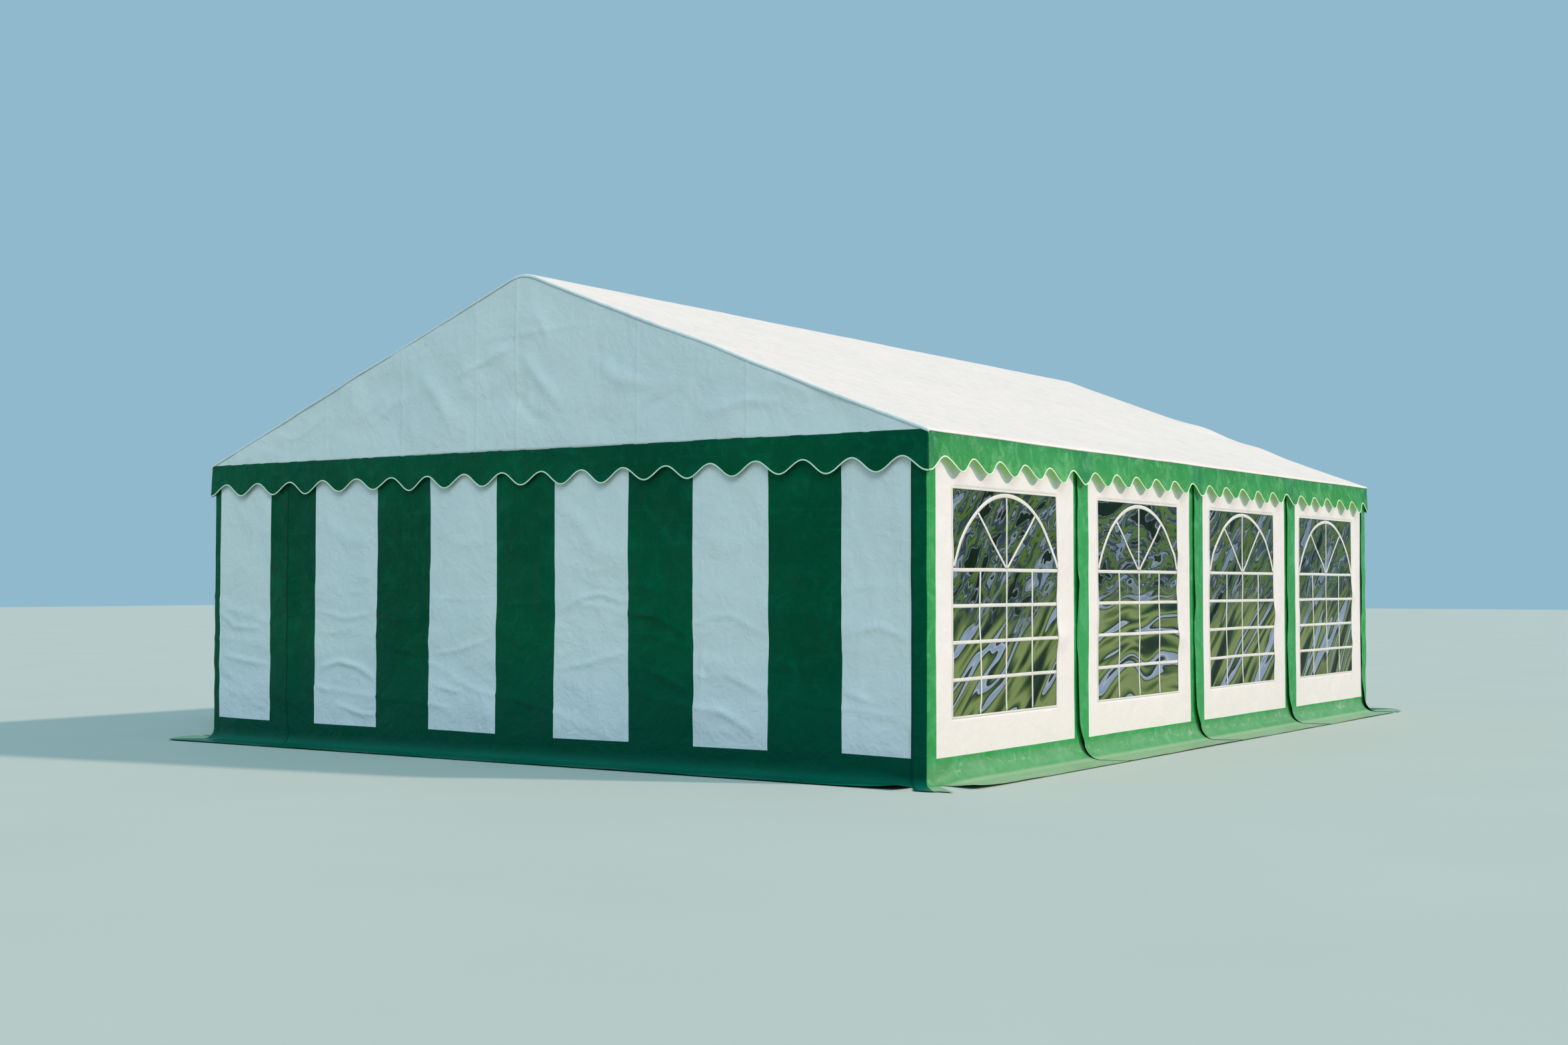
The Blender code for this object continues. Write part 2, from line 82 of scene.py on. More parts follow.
LAP = -2.226  # where the gable's left wall starts, over the edge wall
LAP_END = -2.126
DOOR_LEFT = -0.575
DOOR_RIGHT = 1.436
DOOR_GAP = 0.0001
GABLE_POSTS = (-HALF_SPAN, -0.635, 1.496, HALF_SPAN)
ZIP_TOP = 1.0  # where the zip beside the door's right edge starts to show
ZIP_RISE = 0.0013
ZIP_OFFSET = 0.0002
SIDE_SCALLOPS = 24
GABLE_SCALLOPS = 18
NOTCH_DEPTH = 0.147  # of a valance between two scallops
SCALLOP_DEPTH = 0.083
VALANCE_DEPTH = 0.23
PIPING_INSET = 0.0006
GABLE_INSET = 0.012
SIDES = {"right": (False, 10), "left": (True, 30)}  # on the opposite side, seed
GABLES = {"front": False, "rear": True}  # on the opposite side
RIM_SEEDS = {"right": 301, "left": 311, "front": 331, "rear": 321}

# The scene's sheets and bars
CLOTH = 0.0012  # thickness of the coated fabric
FILM = 0.0006
BAR = 0.0009
BORDER = 0.0007
STEP = 0.027  # size of the sheets' cells
SEAM = 0.0012  # half the width of the cells at the seam of two colours
TUBE_SIDES = 8
BAR_SIDES = (0.5, 0.18, -0.18, -0.5)  # lines across a bar, in its widths
BAR_RISE = 0.0004  # how far the inner ones stand up
THREADS = 2400.0  # waves of the weave, in radians a metre
GREEN, OTHER_FACE_GREEN, LAP_EDGE_SHADE = 1, 2, 3  # numbers of a wall's materials, after its white
UP = np.array([0.0, 0.0, 1.0])


# Helpers


def lattice(iu, iv, seed):
    mixed = (iu * 374761393 + iv * 668265263 + seed * 144665639) & 0xFFFFFFFF
    mixed = ((mixed ^ (mixed >> 13)) * 1274126177) & 0xFFFFFFFF
    return ((mixed ^ (mixed >> 16)) & 0xFFFF) / 32767.5 - 1.0


def swell(u, v, seed):
    """Smooth noise from -1 to 1 whose swells are about one unit long."""
    turned_u, turned_v = 0.8 * u - 0.6 * v + 0.37 * seed, 0.6 * u + 0.8 * v + 0.71 * seed
    total = 0.0
    for index, (a, b) in enumerate(((u, v), (turned_u, turned_v))):
        a, b = np.broadcast_arrays(np.asarray(a, float), np.asarray(b, float))
        ia, ib = np.floor(a).astype(np.int64), np.floor(b).astype(np.int64)
        fa, fb = a - ia, b - ib
        fa, fb = fa * fa * fa * (fa * (6 * fa - 15) + 10), fb * fb * fb * (fb * (6 * fb - 15) + 10)
        key = 2 * seed + index
        low = lattice(ia, ib, key) * (1 - fa) + lattice(ia + 1, ib, key) * fa
        high = lattice(ia, ib + 1, key) * (1 - fa) + lattice(ia + 1, ib + 1, key) * fa
        total = total + low * (1 - fb) + high * fb
    return total / 1.5


def ridged(u, v, seed):
    """Narrow ridges on smooth noise, from 0 to 1."""
    return np.clip(1 - 2.6 * np.abs(swell(u, v, seed)), 0, 1) ** 2


def smooth(low, high, x):
    x = np.clip((x - low) / (high - low), 0, 1)
    return x * x * (3 - 2 * x)


def fold(u, v, line, width, height, sharp):
    """A fold along a line of points, which fades towards both ends."""
    best = np.full(np.broadcast(u, v).shape, np.inf)
    place = np.zeros_like(best)
    line = np.array(line, float)
    lengths = np.linalg.norm(np.diff(line, axis=0), axis=1)
    whole, done = lengths.sum(), 0.0
    for start, end, length in zip(line, line[1:], lengths):
        du, dv = (end - start) / length
        along = np.clip((u - start[0]) * du + (v - start[1]) * dv, 0, length)
        far = np.hypot(u - start[0] - along * du, v - start[1] - along * dv)
        nearer = far < best
        place = np.where(nearer, (done + along) / whole, place)
        best = np.where(nearer, far, best)
        done += length
    fade = np.clip(4 * place * (1 - place), 0, 1) ** 0.7
    shape = np.exp(-best / width) if sharp else np.exp(-((best / width) ** 2))
    return height * fade * shape


def filled(breaks, step):
    """Positions at every break, and evenly between them."""
    out = []
    for low, high in zip(breaks, breaks[1:]):
        count = max(1, round(abs(high - low) / step))
        out += [low + (high - low) * i / count for i in range(count)]
    return np.array([*out, breaks[-1]])


def placed(points, opposite):
    """The points, turned by half a turn when they are for the opposite side of the tent."""
    return points * np.array([-1.0, -1.0, 1.0]) if opposite else points


def unit(v):
    return v / np.linalg.norm(v, axis=-1, keepdims=True)


def mesh_piece(name, points, faces, materials, cells=None, thickness=0.0):
    """A piece from points and faces, whose cells give each face's material."""
    mesh = bpy.data.meshes.new(name)
    mesh.from_pydata(points.tolist(), [], faces)
    for material in materials:
        mesh.materials.append(material)
    if cells is not None:
        mesh.polygons.foreach_set("material_index", cells.astype(np.int32))
    mesh.shade_smooth()
    made = bpy.data.objects.new(name, mesh)
    bpy.context.scene.collection.objects.link(made)
    if thickness:
        solid = made.modifiers.new("thickness", "SOLIDIFY")
        solid.thickness = thickness
        solid.offset = -1.0
    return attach(made, "root")


def grid_piece(name, grid, materials, cells=None, opened=None, thickness=CLOTH, closed=False):
    """A thin sheet under a grid of points, given from the top down and from left to right."""
    rows, columns = grid.shape[:2]
    index = np.arange(rows * columns).reshape(rows, columns)
    if closed:
        index = np.concatenate([index, index[:, :1]], axis=1)
    low, high = index[1:], index[:-1]
    quads = np.stack([low[:, :-1], low[:, 1:], high[:, 1:], high[:, :-1]], axis=-1)
    kept = np.ones(quads.shape[:2], bool) if opened is None else ~opened
    quads = quads[kept]
    used, inverse = np.unique(quads, return_inverse=True)
    faces = inverse.reshape(quads.shape).tolist()
    cells = None if cells is None else cells[kept]
    return mesh_piece(name, grid.reshape(-1, 3)[used], faces, materials, cells, thickness)


def fabric(node, grid, opposite, materials, cells=None, opened=None, kind="cloth", thickness=CLOTH):
    """The sheet that stands for a solid of the frame."""
    piece = grid_piece(f"{node}_{kind}", placed(grid, opposite), materials, cells, opened, thickness)
    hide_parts(node)
    return piece


def ribbon(name, lines, surface, width):
    """Flat bars that follow lines of (u, v) on a surface, as one piece."""
    points, faces = [], []
    for line, lift in lines:
        tangent = unit(np.gradient(line, axis=0))
        across = np.stack([-tangent[:, 1], tangent[:, 0]], axis=1)
        start, count = len(points), len(line)
        for side in BAR_SIDES:
            place = line + across * side * width
            points += [*surface(place[:, 0], place[:, 1], lift + (BAR_RISE if abs(side) < 0.5 else 0))]
        for row in range(len(BAR_SIDES) - 1):
            for column in range(count - 1):
                high = start + row * count + column
                faces.append([high + count, high + count + 1, high + 1, high])
    return mesh_piece(name, np.array(points), faces, [bar_cream], None, BAR)


def sweep(name, line, normals, across_radius, out_radius, materials, low=0.0):
    """A closed tube of oval section along a line of points, of the second material below low."""
    tangent = unit(np.gradient(line, axis=0))
    normals = unit(normals - tangent * (normals * tangent).sum(axis=1)[:, None])
    sideways = np.cross(tangent, normals)
    angle = 2 * math.pi * np.arange(TUBE_SIDES) / TUBE_SIDES
    rings = (
        line[:, None]
        + across_radius * np.cos(angle)[None, :, None] * sideways[:, None]
        + out_radius * np.sin(angle)[None, :, None] * normals[:, None]
    )
    index = np.arange(len(line) * TUBE_SIDES).reshape(len(line), TUBE_SIDES)
    following = np.roll(index, -1, axis=1)
    quads = np.stack([index[:-1], following[:-1], following[1:], index[1:]], axis=-1).reshape(-1, 4)
    faces = [*quads.tolist(), index[0][::-1].tolist(), index[-1].tolist()]
    made = mesh_piece(name, rings.reshape(-1, 3), faces, materials)
    for face in made.data.polygons:
        face.material_index = int(face.center.z < low)
    return made


# Materials


class Nodes:
    """A small helper for building node trees."""

    def __init__(self, name):
        self.material = bpy.data.materials.new(name)
        self.material.use_nodes = True
        self.tree = self.material.node_tree
        self.shader = self.tree.nodes["Principled BSDF"]
        self.output = self.tree.nodes["Material Output"]
        self.place = self.add("TexCoord").outputs["Object"]

    def add(self, kind, inputs=(), **settings):
        node = self.tree.nodes.new("ShaderNode" + kind)
        for name, value in settings.items():
            setattr(node, name, value)
        for name, value in dict(inputs).items():
            self.set(node.inputs[name], value)
        return node

    def set(self, socket, value):
        if isinstance(value, bpy.types.NodeSocket):
            self.tree.links.new(value, socket)
        elif socket.type == "RGBA":
            socket.default_value = (*value, 1.0)
        else:
            socket.default_value = value

    def shade(self, **inputs):
        """Sets inputs of the shader, named with _ in place of a space, and gives the material."""
        for name, value in inputs.items():
            self.set(self.shader.inputs[name.replace("_", " ")], value)
        return self.material

    def math(self, operation, a, b=0.0):
        return self.add("Math", {0: a, 1: b}, operation=operation).outputs[0]

    def vector(self, operation, a, b=(0, 0, 0)):
        node = self.add("VectorMath", {0: a, 1: b}, operation=operation)
        return node.outputs["Value" if operation == "DOT_PRODUCT" else "Vector"]

    def noise(self, scale, detail, rough=0.5, twist=0.0, place=None):
        inputs = {"Vector": place or self.place, "Scale": scale, "Detail": detail}
        inputs.update({"Roughness": rough, "Distortion": twist})
        return self.add("TexNoise", inputs).outputs["Fac"]

    def ranged(self, value, low, high, to_low=0.0, to_high=1.0):
        inputs = {0: value, 1: low, 2: high, 3: to_low, 4: to_high}
        return self.add("MapRange", inputs, interpolation_type="SMOOTHSTEP").outputs[0]

    def mix(self, factor, a, b):
        node = self.add("Mix", {"Factor": factor}, data_type="RGBA")
        self.set(node.inputs[6], a)
        self.set(node.inputs[7], b)
        return node.outputs[2]

    def bump(self, height, distance, strength, normal=None):
        inputs = {"Height": height, "Distance": distance, "Strength": strength}
        if normal:
            inputs["Normal"] = normal
        return self.add("Bump", inputs).outputs["Normal"]


def cloth_material(
    name, colour, light, dark, dust, thinness,
    glow=None, mottling=1.0, relief=1.0, sheen=0.36, grain=(1.0, 3.0, 11.0), drawn=0.0,
    laid=None, scuffs=0.0, foot=None, tint=None,
):
    """Coated fabric: woven scrim under a satin skin, with soft crinkles, mottles and dust.

    foot is the tone towards the ground, scuffs is how much the bend over the ground is rubbed, and
    laid is (from, to, share): where the part that lies on the ground takes up the dust's tone, which
    there stands for dust and for painted sheen. With scuffs, the bend also takes a paler tone as painted
    sheen."""
    n = Nodes(name)
    # Mottles towards the light tone are random tone and, with the greens' strong light tones, also
    # painted highlight on creases.
    mottle = n.ranged(n.noise(7.0, 6.0, 0.62, 1.2), 0.44, 0.74)
    streak = n.vector("MULTIPLY", n.place, grain)
    smear = n.ranged(n.noise(2.6, 5.0, 0.6, 0.8, streak), 0.52, 0.76)
    base = n.mix(n.ranged(n.noise(0.9, 3.0, 0.55), 0.3, 0.7), dark, colour)
    base = n.mix(n.math("MULTIPLY", mottle, 0.34 * mottling), base, light)
    base = n.mix(n.math("MULTIPLY", smear, 0.22 * mottling), base, light)
    height = n.add("SeparateXYZ", {0: n.place}).outputs[2]
    low = n.ranged(height, 0.02, 0.34, 1.0, 0.0)
    grime = n.math("MULTIPLY", low, n.ranged(n.noise(5.0, 6.0, 0.65), 0.35, 0.75))
    base = n.mix(n.math("MULTIPLY", grime, 0.24), base, dust)
    if foot:
        base = n.mix(n.ranged(height, 0.10, 0.85, 1.0, 0.0), base, foot)
    if scuffs:
        flattened = n.vector("MULTIPLY", n.place, (1.0, 1.0, 2.2))
        rubbed = n.ranged(n.noise(8.0, 5.0, 0.7, 1.2, flattened), 0.54, 0.72)
        on_bend = n.ranged(height, 0.095, 0.135, 1.0, 0.0)
        # Painted sheen: below the bend the cloth is mixed paler and greyer; the rubbed patches that
        # follow are wear.
        base = n.mix(n.math("MULTIPLY", on_bend, 0.18), base, BEND_SHEEN)
        level = n.math("MULTIPLY", on_bend, n.ranged(height, 0.03, 0.07))
        base = n.mix(n.math("MULTIPLY", n.math("MULTIPLY", rubbed, level), scuffs), base, SCUFF)
    # The part laid on the ground takes the dust's tone, as dust and as painted sheen on the flat skirt.
    if laid:
        apart = n.vector("SUBTRACT", n.vector("ABSOLUTE", n.place), (WALL_X, WALL_Y, 0.0))
        apart = n.add("SeparateXYZ", {0: apart}).outputs
        over_ground = n.math("SUBTRACT", n.math("MAXIMUM", apart[0], apart[1]), height)
        base = n.mix(n.ranged(over_ground, laid[0], laid[1], 0.0, laid[2]), base, dust)
    threads = n.vector("SINE", n.vector("MULTIPLY", n.place, (THREADS, THREADS, THREADS)))
    normal = n.bump(n.vector("DOT_PRODUCT", threads, (1.0, 1.0, 1.0)), 0.00010, 0.6)
    crinkle = n.math("ABSOLUTE", n.math("SUBTRACT", n.noise(9.0, 5.0, 0.55, 0.6), 0.5))
    normal = n.bump(crinkle, 0.009 * relief, 0.6, normal)
    if drawn:
        for turn, shift in ((38.0, 0.0), (-24.0, 3.0)):
            lie = {"Vector": n.place, "Rotation": (0, 0, math.radians(turn)), "Location": (shift, 0, 0)}
            lines = n.vector("MULTIPLY", n.add("Mapping", lie).outputs[0], (0.55, 3.4, 1.0))
            lines = n.math("ABSOLUTE", n.math("SUBTRACT", n.noise(1.0, 2.5, 0.5, 0.3, lines), 0.5))
            normal = n.bump(n.ranged(lines, 0.0, 0.035), drawn, 0.6, normal)
    normal = n.bump(n.noise(2.4, 4.0, 0.5, 0.4), 0.030 * relief, 0.6, normal)
    rough = n.ranged(n.noise(11.0, 4.0, 0.6), 0.25, 0.75, 0.36, 0.56)
    n.shade(Base_Color=base, Roughness=rough, Specular_IOR_Level=sheen, Normal=normal)
    if tint:
        n.shade(Specular_Tint=tint)
    through = n.add("BsdfTranslucent", {"Color": glow or base, "Normal": normal})
    both = n.add("MixShader", {0: thinness, 1: n.shader.outputs[0], 2: through.outputs[0]})
    n.set(n.output.inputs["Surface"], both.outputs[0])
    return n.material


def colour_ramp(n, value, stops):
    ramp = n.add("ValToRGB", {0: value})
    elements = ramp.color_ramp.elements
    for at, *colour in stops:
        elements.new(at).color = (*colour, 1.0)
    elements.remove(elements[0])
    elements.remove(elements[-1])
    return ramp.outputs[0]


# Painted reflections in the film's waves, as tones: place on the noise, red, green, blue
REFLECTIONS_PAINTED_ABOVE = [
    (0.33, 0.003, 0.010, 0.001),
    (0.390, 0.006, 0.016, 0.002),
    (0.396, 0.230, 0.260, 0.300),
    (0.406, 0.040, 0.062, 0.082),
    (0.440, 0.020, 0.040, 0.050),
    (0.458, 0.012, 0.030, 0.018),
    (0.466, 0.048, 0.094, 0.020),
    (0.510, 0.078, 0.136, 0.032),
    (0.530, 0.040, 0.082, 0.018),
    (0.541, 0.006, 0.016, 0.010),
    (0.548, 0.220, 0.260, 0.280),
    (0.558, 0.034, 0.060, 0.070),
    (0.590, 0.016, 0.034, 0.042),
    (0.600, 0.250, 0.290, 0.330),
    (0.608, 0.120, 0.180, 0.210),
    (0.650, 0.150, 0.215, 0.250),
    (0.658, 0.290, 0.330, 0.350),
    (0.666, 0.004, 0.010, 0.004),
    (0.730, 0.012, 0.026, 0.004),
]
REFLECTIONS_PAINTED_BELOW = [
    (0.33, 0.004, 0.014, 0.014),
    (0.385, 0.014, 0.036, 0.014),
    (0.410, 0.064, 0.112, 0.028),
    (0.440, 0.160, 0.215, 0.076),
    (0.485, 0.175, 0.230, 0.086),
    (0.508, 0.082, 0.132, 0.036),
    (0.528, 0.030, 0.062, 0.022),
    (0.541, 0.006, 0.016, 0.018),
    (0.547, 0.330, 0.390, 0.440),
    (0.556, 0.175, 0.240, 0.330),
    (0.592, 0.225, 0.290, 0.390),
    (0.600, 0.340, 0.400, 0.440),
    (0.608, 0.004, 0.012, 0.014),
    (0.632, 0.028, 0.056, 0.024),
    (0.655, 0.130, 0.170, 0.060),
    (0.720, 0.060, 0.096, 0.030),
]


def film_material(name, turn, shift, upper, lower, bend):
    """Clear film with reflections of what is round it painted into its colour: patches above, and long
    streaks below.
    """
    n = Nodes(name)

    def drift(scale, detail, amount):
        noise = n.add("TexNoise", {"Vector": n.place, "Scale": scale, "Detail": detail})
        off = n.vector("SUBTRACT", noise.outputs["Color"], (0.5, 0.5, 0.5))
        return n.vector("MULTIPLY", off, (0.0, amount, amount))

    bent = n.vector("ADD", n.place, drift(1.3, 1.0, bend))
    lie = {"Rotation": (math.radians(-turn), 0, 0), "Location": shift}
    calm = n.add("Mapping", {"Vector": bent, **lie}).outputs[0]
    stirred = n.add("Mapping", {"Vector": n.vector("ADD", bent, drift(7.0, 2.0, 0.08)), **lie}).outputs[0]
    patches = n.noise(1.0, 2.0, 0.48, 0.35, n.vector("MULTIPLY", stirred, (1.0, *upper)))
    streaks = n.noise(1.0, 1.8, 0.42, 0.1, n.vector("MULTIPLY", calm, (1.0, *lower)))
    height = n.add("SeparateXYZ", {0: n.place}).outputs[2]
    wander = n.math("ADD", height, n.math("MULTIPLY", n.noise(1.7, 2.0), 0.7))
    below, above = colour_ramp(n, streaks, REFLECTIONS_PAINTED_BELOW), colour_ramp(n, patches, REFLECTIONS_PAINTED_ABOVE)
    # The colour ramps paint the film's reflections into its colour.
    return n.shade(
        Base_Color=n.mix(n.ranged(wander, 1.21, 1.51), below, above),
        Roughness=0.10,
        IOR=1.45,
        Specular_IOR_Level=0.05,
        Alpha=n.ranged(streaks, 0.4, 0.62, 0.84, 0.94),
        Normal=n.bump(streaks, 0.03, 0.5, n.bump(patches, 0.012, 0.5)),
    )


def steel_material():
    """Galvanised tube: dull zinc with spangles, dull patches and a faint fine grain."""
    n = Nodes("galvanised_steel")
    cells = n.add("TexVoronoi", {"Vector": n.place, "Scale": 90.0}, feature="F1")
    spangle = n.add("SeparateColor", {0: cells.outputs["Color"]}).outputs[0]
    shade = n.mix(n.ranged(spangle, 0.0, 1.0), (0.40, 0.42, 0.44), (0.60, 0.62, 0.64))
    dull = n.ranged(n.noise(4.0, 5.0, 0.6), 0.4, 0.7)
    return n.shade(
        Base_Color=n.mix(n.math("MULTIPLY", dull, 0.5), shade, (0.33, 0.34, 0.35)),
        Roughness=n.ranged(spangle, 0.0, 1.0, 0.34, 0.52),
        Metallic=0.85,
        Normal=n.bump(n.noise(160.0, 3.0, 0.6), 0.0004, 0.4),
    )


def bar_material():
    """Plain cream vinyl."""
    n = Nodes("cream_bars")
    patch = n.ranged(n.noise(6.0, 5.0, 0.6), 0.3, 0.75)
    return n.shade(
        Base_Color=n.mix(patch, (0.62, 0.60, 0.53), (0.70, 0.68, 0.60)),
        Roughness=n.ranged(n.noise(30.0, 3.0), 0.3, 0.7, 0.37, 0.53),
        Normal=n.bump(n.noise(260.0, 3.0, 0.6), 0.0003, 0.5),
    )


def binding_material():
    """Folded binding with close ribs along its edge."""
    n = Nodes("piping_binding")
    ribs = n.vector("SINE", n.vector("MULTIPLY", n.place, (1500.0, 1500.0, 900.0)))
    patch = n.ranged(n.noise(9.0, 4.0, 0.6), 0.35, 0.7)
    return n.shade(
        Base_Color=n.mix(patch, (0.60, 0.78, 0.55), (0.72, 0.86, 0.66)),
        Roughness=0.55,
        Normal=n.bump(n.vector("DOT_PRODUCT", ribs, (1.0, 1.0, 1.0)), 0.00015, 0.7),
    )


# Tones as red, green and blue; a cloth's are its colour, its light and its dark, and its dust (on the
# ground also painted sheen)
DUST = (0.78, 0.75, 0.67)
# Dust tone for the white's shaded copy, bluer as painted shade.
SHADED_DUST = (0.60, 0.72, 0.86)
GREEN_DUST_AND_SHEEN = (0.285, 0.485, 0.27)
# Dust tone for the green's shaded copy, darker as painted shade; on its flat skirt it also stands for
# painted sheen.
SHADED_COPY_DUST_AND_SHEEN = (0.001, 0.135, 0.088)
SCUFF = (0.36, 0.54, 0.32)
# A pale tone painted as sheen over a skirt's bend.
BEND_SHEEN = (0.30, 0.32, 0.26)
# Tones of the green's shaded copy: darker and more saturated, as painted shade.
SHADE_GREEN_TONES = ((0.0002, 0.078, 0.028), (0.001, 0.150, 0.070), (0.0001, 0.050, 0.018))
SHADE_TINT = (0.02, 0.90, 0.62)
# The whites are copies of one fabric whose tones differ by painted light: the sides' copy is sunlit, the
# roof's warmer still, and the gables' greener and bluer as painted shade.
white_sunlit_copy = cloth_material(
    "white_sunlit_copy", (0.83, 0.78, 0.72), (0.86, 0.81, 0.76), (0.80, 0.75, 0.70), DUST, 0.10
)
# Its foot paints a bluer shade towards the ground.
white_shaded_copy = cloth_material(
    "white_shaded_copy", (0.746, 0.795, 0.770), (0.80, 0.84, 0.80), (0.70, 0.76, 0.75), SHADED_DUST, 0.10,
    relief=1.9, foot=(0.750, 0.797, 0.835),
)
white_roof_lit_copy = cloth_material(
    "white_roof_lit_copy", (0.885, 0.805, 0.715), (0.90, 0.83, 0.75), (0.87, 0.79, 0.70), DUST, 0.12, drawn=0.0013
)
# The greens are sunlit and shaded copies of one fabric, for the sides and the gables, and their tones
# differ by painted light.
green_sunlit_copy = cloth_material(
    "green_sunlit_copy", (0.019, 0.320, 0.063), (0.120, 0.500, 0.210), (0.015, 0.275, 0.052), GREEN_DUST_AND_SHEEN,
    0.12, mottling=1.3, relief=1.4, laid=(0.025, 0.075, 0.95), scuffs=0.75,
)
green_shaded_copy = cloth_material(
    "green_shaded_copy", *SHADE_GREEN_TONES, SHADED_COPY_DUST_AND_SHEEN, 0.06, mottling=0.9, relief=2.4, sheen=0.30,
    laid=(-0.06, 0.05, 0.8), foot=(0.0002, 0.062, 0.032), tint=SHADE_TINT,
)
# A darker green painted as shade on a strip along the left wall's free edge, for the shadow in the lap's
# gap.
lap_edge_painted_shade = cloth_material(
    "lap_edge_painted_shade", (0.0003, 0.050, 0.020), (0.001, 0.070, 0.030), (0.0002, 0.040, 0.015), SHADED_COPY_DUST_AND_SHEEN,
    0.02, sheen=0.05,
)
# On the valance the strong light mottles are painted highlight on its creases as well as random tone.
valance_sunlit_copy = cloth_material(
    "valance_sunlit_copy", (0.046, 0.370, 0.190), (0.260, 0.620, 0.420), (0.030, 0.280, 0.130), GREEN_DUST_AND_SHEEN,
    0.60, glow=(0.56, 0.92, 0.08), mottling=2.2, relief=2.6, grain=(6.0, 6.0, 2.4),
)
valance_shaded_copy = cloth_material(
    "valance_shaded_copy", *SHADE_GREEN_TONES, SHADED_COPY_DUST_AND_SHEEN, 0.06, relief=2.4, sheen=0.30, tint=SHADE_TINT
)
# Each bay's film and its painted reflections: how they turn and are shifted, their streaks above and
# below, and their bend
FILM_WAVES = (
    (36.0, (0.0, 0.3, 0.7), (2.5, 9.2), (0.9, 6.0), 0.20),
    (8.0, (0.0, 1.7, 0.2), (2.2, 8.6), (0.7, 5.8), 0.50),
    (38.0, (0.0, 2.1, 1.4), (1.5, 7.6), (0.55, 5.8), 0.12),
    (42.0, (0.0, 4.4, 0.1), (1.6, 7.6), (0.55, 5.8), 0.12),
)
film_materials = [film_material(f"clear_film_{bay + 1}", *waves) for bay, waves in enumerate(FILM_WAVES)]
bar_cream = bar_material()
binding = binding_material()
steel = steel_material()
for name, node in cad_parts.items():
    if name.startswith("truss") or "rail" in name or "post" in name:
        for place in node.material_slots:
            place.material = steel


# Walls

SIDE_BULGES = [
    # middle along and up, half width, half height, how far it stands out
    (-2.31, 0.80, 0.10, 0.070, 0.016),
    (-2.40, 1.26, 0.10, 0.060, 0.007),
    (-2.36, 1.05, 0.08, 0.060, -0.005),
    (-3.72, 1.30, 0.12, 0.090, 0.006),
    (-3.74, 0.70, 0.10, 0.080, 0.005),
    (-0.34, 0.76, 0.11, 0.070, 0.015),
    (-0.40, 1.35, 0.09, 0.050, 0.008),
    (-0.38, 1.10, 0.09, 0.060, -0.006),
    (-1.75, 0.95, 0.08, 0.120, 0.006),
    (1.62, 0.90, 0.10, 0.080, 0.013),
    (1.58, 0.55, 0.09, 0.060, 0.007),
    (0.24, 1.25, 0.08, 0.100, 0.006),
    (3.60, 1.05, 0.10, 0.080, 0.012),
    (3.56, 0.62, 0.10, 0.060, 0.008),
    (2.20, 0.85, 0.08, 0.090, 0.006),
]


def side_wave(t, z, seed):
    """How far a side wall stands out, and how far it is drawn along itself."""
    free = 1.0
    for row in POST_ROWS:
        free = free * (1 - np.exp(-(((t - row) / 0.13) ** 2)))
    hung = smooth(2.0, 1.5, z)
    out = 0.007 * swell(t * 0.9, z * 0.8, seed) * free * hung
    out += 0.0030 * swell(t * 4.2, z * 0.9, seed + 1) * hung
    out += 0.0012 * swell(t * 9.0, z * 3.5, seed + 2) * (0.3 + 0.7 * hung)
    out += 0.0012 * ridged(t * 1.7 + 0.5 * z, z * 1.3, seed + 3) * hung
    for at, level, wide, high, rise in SIDE_BULGES:
        out = out + rise * np.exp(-(((t - at) / wide) ** 2) - ((z - level) / high) ** 2)
    out = np.maximum(out, -0.0018 - 0.02 * free * hung)
    along = 0.0035 * swell(t * 1.2, z * 1.9, seed + 4) * hung
    along += 0.0018 * swell(t * 3.0, z * 5.0, seed + 5) * hung
    return out, along


